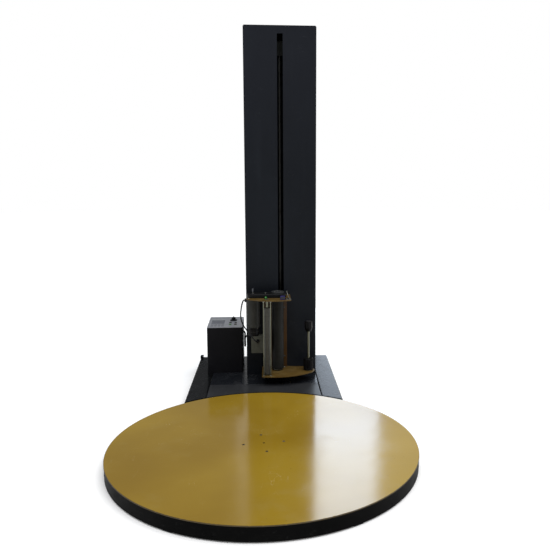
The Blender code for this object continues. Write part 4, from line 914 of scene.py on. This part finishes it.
def make_panel():
    """The sloping panel with its blank display and keys, and the main switch."""
    slope = math.atan2(CABINET_REAR_TOP - CABINET_FRONT_TOP, CABINET_REAR - CABINET_FRONT)
    panel, low, high = piece_for("control_panel", MEMBRANE)
    corner = Vector((low.x, CABINET_FRONT, CABINET_FRONT_TOP + GAP))
    board = Matrix.Translation(corner) @ Matrix.Rotation(slope, 4, "X")
    wide = high.x - low.x
    deep = (CABINET_REAR - CABINET_FRONT) / math.cos(slope)
    face = PANEL_THICKNESS
    film = face - 0.0006
    panel.plate([rectangle(0, 0, wide, deep, 0.006), flat_ring(0.0056, SWITCH_ON_PANEL, 20)], 0, film, 0.0008,
                board)
    panel.plate([rectangle(0.004, 0.004, wide - 0.004, deep - 0.004, 0.005),
                 flat_ring(0.021, SWITCH_ON_PANEL, 40)], film, face, 0.0002, board)
    panel.use(DISPLAY)
    panel.plate([rectangle(0.022, 0.112, 0.120, 0.218, 0.004)], face, face + 0.0006, 0.0002, board)
    panel.use(KEY_GREY)
    for row, column in product(range(2), range(4)):
        x = 0.022 + column * 0.026
        y = 0.030 + row * 0.038
        panel.plate([rectangle(x, y, x + 0.020, y + 0.026, 0.004)], face, face + 0.0007, 0.0003, board)
    panel.use(LABEL_PALE)
    for column in range(3):
        x = 0.026 + column * 0.032
        panel.plate([rectangle(x, 0.236, x + 0.020, 0.242, 0.002)], face, face + 0.0003, 0.0001, board)
    for x, y, finish in ((0.165, 0.075, LAMP), (0.205, 0.075, BLACK_PLASTIC), (0.165, 0.130, BLACK_PLASTIC),
                         (0.205, 0.130, KEY_DARK)):
        foot = board @ Matrix.Translation((x, y, face))
        panel.use(ZINC).lathe([(0.006, 0), (0.0110, 0), (0.0110, 0.0018), (0.0100, 0.0028), (0.0085, 0.0028),
                               (0.0085, 0.001), (0.006, 0.001)], foot, 36, True)
        panel.use(finish).lathe([(0, 0.0008), (0.0080, 0.0008), (0.0080, 0.0050), (0.0070, 0.0062),
                                 (0, 0.0066)], foot, 36)
    foot = board @ Matrix.Translation((*SWITCH_ON_PANEL, face))
    panel.use(BLACK_PLASTIC).plate([rectangle(-0.026, -0.026, 0.026, 0.026, 0.005),
                                    flat_ring(0.0185, sides=40)], 0, 0.0022, 0.0005, foot)
    panel.use(ZINC)
    corners = product((0.012, wide - 0.012), (0.014, deep - 0.014))
    panel.screws([board @ Vector((x, y, face)) for x, y in corners], board.to_3x3() @ Vector(UP),
                 0.0040, 0.0018)
    panel.made("panel_board", "base", "panel_silver")

    seat = board @ Matrix.Translation((*SWITCH_ON_PANEL, face + GAP))
    rise = 0.022
    mark = rise + 0.006
    knob = Piece(BLACK_PLASTIC, "main_switch_knob")
    knob.loft(fluted([(0.0150, 0.0, 0), (0.0168, 0.0008, 0), (0.0168, 0.004, 0), (0.0158, 0.006, 1),
                      (0.0150, rise - 0.002, 1), (0.0135, rise, 0)], ripple(72, 18, 0.0008, math.pi)), seat)
    knob.plate([rectangle(-0.0038, -0.0143, 0.0038, 0.0143, 0.0030)], rise - 0.001, mark, 0.0008, seat)
    knob.lathe([(0, -0.0135), (0.0048, -0.0135), (0.0048, 0.001), (0, 0.001)], seat, 24)
    knob.use(LABEL_PALE)
    knob.plate([rectangle(-0.0009, 0.0030, 0.0009, 0.0125, 0.0006)], mark, mark + 0.0002, 0.00005, seat)
    knob.made("main_switch", "main_switch_knob", "black_plastic")


def make_power_cable():
    """The lead from the cabinet to the mast, with a nut at each end."""
    lead, low, high = piece_for("power_lead", CABLE)
    middle = (low.x + high.x) / 2
    plug = (low.x, 1.345, 0.385)
    socket = (high.x, 1.412, 0.333)
    route = [plug, (low.x + 0.006, 1.345, 0.385), (middle, 1.345, 0.372), (middle, 1.342, 0.335),
             (middle, 1.350, 0.290), (middle, 1.375, 0.262), (middle, 1.400, 0.280), (middle, 1.410, 0.318),
             (high.x - 0.006, 1.412, 0.333), socket]
    lead.wire(smooth_route(route), 0.006, 24)
    lead.use(BLACK_PLASTIC)
    lead.nut(plug, (1, 0, 0), 0.018, 0.0035)
    lead.nut(socket, (-1, 0, 0), 0.018, 0.0035)
    lead.made("power_cable", "base", "black_plastic")


# Film carriage

def make_shelves():
    """The two yellow shelves, the plate behind them and their screws."""
    shelf, low, high = piece_for("carriage_bottom_plate", SHELF)
    x, y = SPOOL
    outline = arc_through((low.x, 0.958), (0.146, 0.948), (x + 0.025, y - 0.049), 48)
    outline += arc_through((x + 0.032, y - 0.035), (x + 0.044, y), (x + 0.025, y + 0.050), 16)
    outline += [(x - 0.020, y + 0.085), (0.180, high.y), (low.x, high.y)]
    shafts = [flat_ring(0.0083, IDLER, 32), flat_ring(0.0093, FEED, 32)]
    shelf.plate([outline] + shafts, low.z, high.z, 0.0009)
    shelf.use(ZINC)
    shelf.screws([(x, 1.180, high.z) for x in (0.020, 0.150)], UP, 0.0065, 0.0045)
    for place in GUIDE_RODS + (IDLER,):
        shelf.nut((*place, low.z), DOWN, 0.013, 0.005)
    shelf.made("lower_shelf", "carriage", "yellow_paint")

    shelf, low, high = piece_for("carriage_top_plate", SHELF)
    outline = arc_through((low.x, 1.030), (0.020, 0.955), (high.x, 0.975), 48)
    outline += [(high.x, high.y), (low.x, high.y)]
    shafts.append(flat_ring(0.0073, MOTOR, 32))
    shelf.plate([soften(outline, 0.006, 4, True)] + shafts, low.z, high.z, 0.0009)
    shelf.use(ZINC)
    bolts = ((-0.100, 1.185), (0.020, 1.185), (0.110, 1.185), (0.175, 1.185), (-0.100, 1.045))
    shelf.screws([(*bolt, high.z) for bolt in bolts], UP, 0.0060, 0.0042)
    shelf.lathe([(0.0083, high.z), (0.0150, high.z), (0.0150, high.z + 0.0015), (0.0083, high.z + 0.0015)],
                Matrix.Translation((*IDLER, 0)), 40, True)
    lamp = Matrix.Translation((0.018, 1.031, high.z))
    shelf.use(BLACK_PLASTIC)
    shelf.lathe([(0, 0), (0.0105, 0), (0.0105, 0.003), (0.0095, 0.004), (0, 0.004)], lamp, 40)
    shelf.use(LAMP).lathe([(0, 0.003), (0.0082, 0.003), (0.0082, 0.008), (0.0072, 0.0125), (0.0045, 0.0150),
                           (0, 0.0158)], lamp, 40)
    x, y = (-0.073, 1.135)
    shelf.use(ZINC).nut((x, y, high.z), UP, 0.015, 0.006)
    shelf.rod(0.0032, (x, y, high.z), (x, y, high.z + 0.0530), 24)
    shelf.use(KEY_GREY).rod(0.0046, (x, y, high.z + 0.032), (x, y, high.z + 0.0550), 24, 0.001)
    shelf.made("upper_shelf", "carriage", "yellow_paint")

    back, low, high = piece_for("carriage_back_plate", SHADED_BACK_SHELF)
    back.plate([rectangle(low.x, low.z, high.x, high.z, 0.001)], low.y, high.y, 0.0008, FACING_REAR)
    back.use(OILED)
    back.screws([(x, low.y, z) for z, x in product((0.230, 0.590), (0.108, 0.152))], FRONT, 0.0060, 0.0042)
    back.made("rear_plate", "carriage", "yellow_paint")


def make_roller(name, node, slot, place, top, skin, cap, shaft):
    """A roller with its skin, its two end caps with any screws, and its shaft."""
    foot = Matrix.Translation((*place, 0))
    finish, bore, radius, inset, edge, sides = skin
    roller, low, high = piece_for(node, finish)
    roller.tube(bore, radius, SLEEVE_FOOT + inset, top - inset, edge, foot, sides)
    finish, bore, face, rim, ease, depth, sides, screw_circle = cap
    roller.use(finish)
    for level, inward in ((SLEEVE_FOOT, 1), (top, -1)):
        inner = level + inward * depth
        roller.lathe([(bore, level), (face, level), (rim, level + inward * ease), (rim, inner),
                      (bore, inner)], foot, sides, True)
    if screw_circle:
        roller.screws([(*around(place, screw_circle, 45 + 90 * index), top + 0.0002) for index in range(4)],
                      UP, 0.0040, 0.0030)
    shoulder = shaft + 0.005
    edge = 0.0006
    roller.use(BRIGHT).lathe([(0, low.z), (shaft, low.z), (shaft, SHELF_FACE), (shoulder, SHELF_FACE),
                              (shoulder, SLEEVE_FOOT), (shaft, SLEEVE_FOOT), (shaft, high.z - edge),
                              (shaft - edge, high.z), (0, high.z)], foot, 40)
    roller.made(name, node, slot)


def make_rollers():
    """The idler, the rubber feed roller and the guide rods."""
    make_roller("idler_sleeve", "idler_roller", "roller_sleeve", IDLER, IDLER_TOP,
                (SLEEVE, 0.018, IDLER_RADIUS, 0.001, 0.0008, 72),
                (BLACK_PLASTIC, 0.0078, 0.0180, 0.0225, 0.0004, 0.004, 48, None), 0.0080)
    make_roller("feed_sleeve", "feed_roller", "roller_rubber", FEED, FEED_TOP,
                (RUBBER, 0.030, FEED_RADIUS, 0.004, 0.002, 80),
                (ZINC, 0.009, 0.036, 0.0375, 0.001, 0.0055, 64, 0.024), 0.0090)
    for name, (x, y) in zip(("guide_bar_left", "guide_bar_right"), GUIDE_RODS):
        rod, low, high = piece_for(name, BRIGHT)
        rod.rod(0.0035, (x, y, low.z), (x, y, high.z), 32)
        rod.use(ZINC).nut((x, y, low.z), UP, 0.011, 0.006)
        rod.nut((x, y, high.z), DOWN, 0.011, 0.006)
        rod.made(name.replace("bar", "rod"), "carriage", "bright_steel")


def make_motor():
    """The gearmotor with its rings and bolts, the junction box, its gland and the cable between them."""
    motor, low, high = piece_for("feed_motor", CAST)
    radius = MOTOR_RADIUS
    end = MOTOR_END_RADIUS
    step = MOTOR_STEP
    groove = 0.0014
    bore = high.z - 0.030
    joint = high.z - 0.014
    foot = Matrix.Translation((*MOTOR, 0))
    motor.lathe([(0, bore), (0.0073, bore), (0.0073, high.z), (radius - 0.0008, high.z),
                 (radius, high.z - 0.0008), (radius, joint + 0.0010), (radius - 0.0012, joint),
                 (radius - 0.0012, joint - 0.0025), (radius, joint - 0.0035), (radius, step + 0.025),
                 (radius - groove, step + 0.0235), (radius - groove, step + 0.0205), (radius, step + 0.019),
                 (radius, step + 0.003), (radius - 0.003, step), (0, step)], foot, 80)
    motor.use(COVER).lathe([(0, step), (end, step), (end, low.z + 0.008), (end - 0.002, low.z + 0.002),
                            (end - 0.006, low.z), (0, low.z)], foot, 80)
    motor.use(CAST).block((low.x, MOTOR[1] - 0.015, high.z - 0.026),
                          (low.x + 0.026, MOTOR[1] + 0.015, high.z - 0.003), 0.0025)
    motor.use(ZINC)
    motor.screws([(*around(MOTOR, 0.043, 45 + 90 * index), step + 0.0012) for index in range(4)],
                 DOWN, 0.0030, 0.0040)
    motor.screws([(*around(MOTOR, 0.024, angle), 0.4115) for angle in (20, 140, 260)], DOWN, 0.0030, 0.0012)
    motor.use(OILED).lathe([(end - 0.0005, 0.4400), (end + 0.0002, 0.4402), (end + 0.0002, 0.4418),
                            (end - 0.0005, 0.4420)], foot, 64, True)
    motor.made("feed_gearmotor", "carriage", "motor_grey")
    boss = (low.x - GAP, MOTOR[1], high.z + GAP - 0.015)

    box, low, high = piece_for("junction_box", BOX_GREY)
    box.block((low.x, low.y + 0.004, low.z), (high.x, high.y, high.z), 0.0035)
    box.block((low.x + 0.0005, low.y, low.z + 0.0005),
              (high.x - 0.0005, low.y + 0.0035, high.z - 0.0005), 0.0016)
    box.use(ZINC)
    columns = (low.x + 0.009, high.x - 0.009)
    box.screws([(x, low.y + 0.0006, z) for x, z in product(columns, (low.z + 0.009, high.z - 0.009))],
               FRONT, 0.0032, 0.0004, True)
    box.made("terminal_box", "carriage", "light_grey_plastic")

    gland, low, high = piece_for("cable_gland", BLACK_PLASTIC)
    middle = ((low.x + high.x) / 2, high.y, (low.z + high.z) / 2)
    seat = facing(middle, FRONT)
    length = high.y - low.y
    gland.nut(middle, FRONT, 0.0205, 0.007)
    gland.lathe([(0, 0), (0.0090, 0), (0.0090, 0.009), (0.0105, 0.010), (0.0105, 0.018), (0.0085, 0.0225),
                 (0.0065, length), (0, length)], seat, 36)
    for index in range(12):
        grip = around((0, 0), 0.0104, 30 * index)
        gland.rod(0.0008, seat @ Vector((*grip, 0.0105)), seat @ Vector((*grip, 0.0175)), 8, 0.0002)
    gland.made("box_gland", "carriage", "black_plastic")

    route = [boss, (-0.138, *boss[1:]), (-0.146, 1.095, 0.643), (-0.153, 1.088, 0.612),
             (-0.158, 1.076, 0.556), (-0.146, 1.062, 0.505), (-0.114, 1.040, 0.458), (-0.080, 1.020, 0.418),
             (-0.054, 1.003, 0.391), (middle[0], 1.016, middle[2]), (middle[0], low.y - GAP, middle[2])]
    cable = Piece(CABLE, "carriage_cable")
    cable.wire(smooth_route(route), 0.0045, 20)
    cable.made("motor_cable", "carriage", "black_plastic")


def belt_outline(room):
    """The line round both tooth wheels of the feed chain, some room outside their pitch circles."""
    feed = FEED_PITCH / (2 * math.sin(math.pi / FEED_TEETH)) + room
    motor = FEED_PITCH / (2 * math.sin(math.pi / MOTOR_TEETH)) + room
    dx, dy = MOTOR[0] - FEED[0], MOTOR[1] - FEED[1]
    direction = math.degrees(math.atan2(dy, dx))
    tilt = math.degrees(math.acos((feed - motor) / math.hypot(dx, dy)))
    steps = 32
    return [around(middle, radius, begin + sweep * step / steps)
            for middle, radius, begin, sweep in ((MOTOR, motor, direction - tilt, 2 * tilt),
                                                 (FEED, feed, direction + tilt, 2 * (180 - tilt)))
            for step in range(steps + 1)]


def make_drive_cover():
    """The hollow chain cover with its round cap and screws."""
    cover, low, high = piece_for("chain_cover", COVER)
    room = 0.012
    roof = low.z + COVER_HEIGHT
    outside = ((room, low.z), (room, roof - 0.006), (room - 0.0008, roof - 0.0028),
               (room - 0.0028, roof - 0.0008), (room - 0.006, roof))
    inside = ((room - 0.008, roof - 0.002), (room - 0.002, roof - 0.008), (room - 0.002, low.z))
    cover.loft([[(x, y, z) for x, y in belt_outline(reach)] for reach, z in inside + outside])
    cap = Matrix.Translation((*FEED, roof - 0.001))
    rise = high.z - roof + 0.001
    cover.use(GEAR_CAST)
    cover.lathe([(0, 0), (CAP_RADIUS, 0), (CAP_RADIUS, rise - 0.004), (CAP_RADIUS - 0.0012, rise - 0.0015),
                 (CAP_RADIUS - 0.004, rise), (0.034, rise), (0.033, rise - 0.001), (0.018, rise - 0.001),
                 (0.017, rise - 0.0004), (0, rise - 0.0004)], cap, 72)
    cover.use(ZINC)
    cover.screws([(*around(FEED, 0.0255, angle), high.z - 0.0018) for angle in (90, 210, 330)],
                 UP, 0.0035, 0.0016)
    cover.screws([(*MOTOR, roof), (0.015, 1.108, roof)], UP, 0.0045, 0.0030)
    cover.made("drive_cover", "carriage", "black_paint")


def make_sensor():
    """The bent bracket and the film sensor with its lead."""
    holder, low, high = piece_for("sensor_bracket", ZINC)
    width, depth, wall = 0.034, 0.040, 0.003
    right = 0.192
    holder.plate([rectangle(right - width, low.y, right, low.y + depth, 0.003)], low.z, low.z + wall, 0.0005)
    foot = Matrix.Translation((right - 0.010, low.y + depth / 2, low.z + wall / 2))
    leaning = foot @ Matrix.Rotation(math.radians(-20.0), 4, "Y")
    upright = leaning @ Matrix(((0, 0, 1, 0), (0, 1, 0, 0), (-1, 0, 0, 0), (0, 0, 0, 1)))
    holder.plate([rectangle(-0.060, -depth / 2, 0.0, depth / 2, 0.004),
                  rectangle(-0.050, -0.004, -0.030, 0.004, 0.0035)], -wall / 2, wall / 2, 0.0005, upright)
    holder.screws([(right - width + 0.008, low.y + y, low.z + wall) for y in (0.010, 0.030)],
                  UP, 0.0040, 0.0030)
    holder.made("sensor_holder", "carriage", "bright_steel")

    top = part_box("carriage_top_plate")[1].z
    rest = top + 0.0035
    eye = Piece(SENSOR_BLUE)
    eye.block((0.118, 0.982, top + GAP), (0.150, 1.004, top + 0.026), 0.002)
    eye.use(KEY_DARK)
    eye.plate([rectangle(0.122, top + 0.006, 0.146, top + 0.021, 0.002)], 0.9815, 0.9835, 0.0003, FACING_REAR)
    route = [(0.134, 1.003, top + 0.010), (0.134, 1.012, top + 0.010), (0.140, 1.022, top + 0.006),
             (0.158, 1.030, top + 0.004), (0.176, 1.045, rest), (0.182, 1.080, rest), (0.180, 1.140, rest),
             (0.178, 1.198, rest)]
    eye.use(CABLE).wire(smooth_route(route), 0.0022, 12)
    eye.made("film_sensor", "carriage", "black_plastic")


def make_spool():
    """The post with its collar, the ribbed hub for the film core and the lobed knob."""
    post, low, high = piece_for("spool_post", BRIGHT)
    place = Matrix.Translation((*SPOOL, 0))
    collar = COLLAR_TOP
    bore_top = high.z + 0.002
    post.lathe([(0, high.z), (0.0052, high.z), (0.0060, high.z - 0.001), (0.0060, collar), (0.0095, collar),
                (0.0100, collar - 0.0005), (0.0100, collar - 0.0075), (0.0095, collar - 0.008),
                (0.0075, collar - 0.008), (0.0075, low.z + 0.005), (0.0292, low.z + 0.005),
                (0.0300, low.z + 0.0042), (0.0300, low.z), (0, low.z)], place, 48)
    post.made("spool_pin", "carriage", "bright_steel")

    hub, low, high = piece_for("spool_hub", BLACK_PLASTIC)
    radius, bore = 0.0360, 0.0078
    hub.loft(fluted([(radius - 0.003, high.z, 0), (radius, high.z - 0.006, 0), (radius, high.z - 0.008, 1),
                     (radius, low.z + 0.010, 1), (radius, low.z + 0.008, 0), (radius, low.z + 0.0008, 0),
                     (radius - 0.0008, low.z, 0), (bore, low.z, 0), (bore, high.z, 0)],
                    [0.0035 if step % 8 < 5 else 0.0 for step in range(96)]), place, True)
    hub.made("core_hub", "spool", "black_plastic")

    knob, low, high = piece_for("spool_knob", BLACK_PLASTIC)
    widest = high.x - SPOOL[0]
    cap = widest - 0.0100
    knob.loft(fluted([(0.0065, bore_top, 0), (0.0065, low.z, 0), (0.0190, low.z, 0),
                      (0.0200, low.z + 0.001, 0), (widest - 0.0005, low.z + 0.0215, 0),
                      (widest, low.z + 0.024, 0), (widest, low.z + 0.030, 1), (widest, high.z - 0.012, 1),
                      (widest - 0.0012, high.z - 0.006, 1), (widest - 0.0045, high.z - 0.0025, 0),
                      (widest - 0.0085, high.z - 0.0015, 0)], ripple(96, 8, 0.0028)), place)
    knob.use(KNOB_CAP).lathe([(0, high.z - 0.0022), (cap, high.z - 0.0022), (cap, high.z - 0.0004),
                              (cap - 0.001, high.z), (0, high.z)], place, 56)
    knob.made("film_knob", "spool_knob", "black_plastic")


def finish_kept_nodes():
    """The pieces inside the machine keep their shape."""
    keep(MAST, "mast_foot_plate", "lower_sprocket_bracket", "trolley", "rear_frame", "bed_frame")
    keep(OILED, "ring_sprocket", "drive_sprocket", "drive_chain", "upper_lift_sprocket",
         "lower_lift_sprocket", "lift_chain", "roller_sprocket", "motor_sprocket", "feed_chain")
    keep(ZINC, "guide_rail_left", "guide_rail_right")
    keep(CAST, "drive_gearmotor", "lift_gearmotor")
    keep(BOX_GREY, "inverter")
    keep(NYLON, *[name for name in nodes if name.startswith(("support_wheel_", "trolley_wheel_"))])


# Studio

def make_floor():
    """A pale floor that catches a soft shadow."""
    f = Finish("studio_floor")
    shade = f.noise(0.6, 2.0)
    f.ground((250, 250, 250), (253, 253, 253), shade)
    floor = Piece(f.finish(Roughness=0.8 + shade * 0.05, Emission_Color=(1.0, 1.0, 1.0, 1.0),
                           Emission_Strength=0.08))
    floor.plate([flat_ring(40.0, sides=96)], -0.050, -0.0005, 0.0001)
    floor.gathered("studio_floor")


def make_surround():
    """White to the camera, a soft grey to everything else."""
    world = bpy.data.worlds.new("studio")
    world.use_nodes = True
    bpy.context.scene.world = world
    tree = world.node_tree
    path = tree.nodes.new("ShaderNodeLightPath")
    seen = tree.nodes.new("ShaderNodeMix")
    seen.data_type = "RGBA"
    seen.inputs[6].default_value = (0.20, 0.205, 0.215, 1)
    seen.inputs[7].default_value = (1.0, 1.0, 1.0, 1)
    tree.links.new(path.outputs["Is Camera Ray"], seen.inputs[0])
    tree.links.new(seen.outputs[2], tree.nodes["Background"].inputs["Color"])


def make_lights():
    """A wide soft sun, and tall windows behind the machine that shine in its paint."""
    sun = bpy.data.lights.new("overhead", "SUN")
    sun.energy = 3.05
    sun.angle = math.radians(70)
    placed("overhead", sun).rotation_euler = (math.radians(18), math.radians(10), 0)
    window_y = 4.2
    cool, plain, warm = (0.75, 0.86, 1.0), (1.0, 1.0, 1.0), (1.0, 0.88, 0.52)
    for name, x, low, high, width, power, tint in (("window_right_low", 1.02, 0.2, 1.6, 0.82, 14.5, cool),
                                                   ("window_right_high", 1.02, 1.6, 3.6, 0.82, 30.0, cool),
                                                   ("window_left", -0.24, 0.2, 3.4, 0.22, 1.2, plain),
                                                   ("far_right", 2.30, 0.2, 3.4, 1.70, 18.0, warm)):
        light = bpy.data.lights.new(name, "AREA")
        light.shape = "RECTANGLE"
        light.size, light.size_y = width, high - low
        light.energy = power
        light.color = tint
        window = placed(name, light)
        window.location = (x, window_y, (low + high) / 2)
        window.rotation_euler = Vector(FRONT).to_track_quat("-Z", "Y").to_euler()
        window.visible_camera = False


def make_camera():
    """A standing person's view of the whole machine."""
    lens = bpy.data.cameras.new("camera")
    lens.lens = 40.19
    lens.sensor_width = 36.0
    lens.shift_x = -0.0518
    camera = placed("camera", lens)
    camera.location = (0.014, -3.162, 1.437)
    camera.rotation_euler = (math.radians(90 - 7.99), 0, math.radians(-3.63))
    bpy.context.scene.camera = camera


make_turntable()
make_rear_base()
make_mast()
make_cabinet()
make_panel()
make_power_cable()
make_shelves()
make_rollers()
make_motor()
make_drive_cover()
make_sensor()
make_spool()
finish_kept_nodes()
bpy.context.scene.view_settings.view_transform = "Standard"
make_surround()
make_floor()
make_lights()
make_camera()
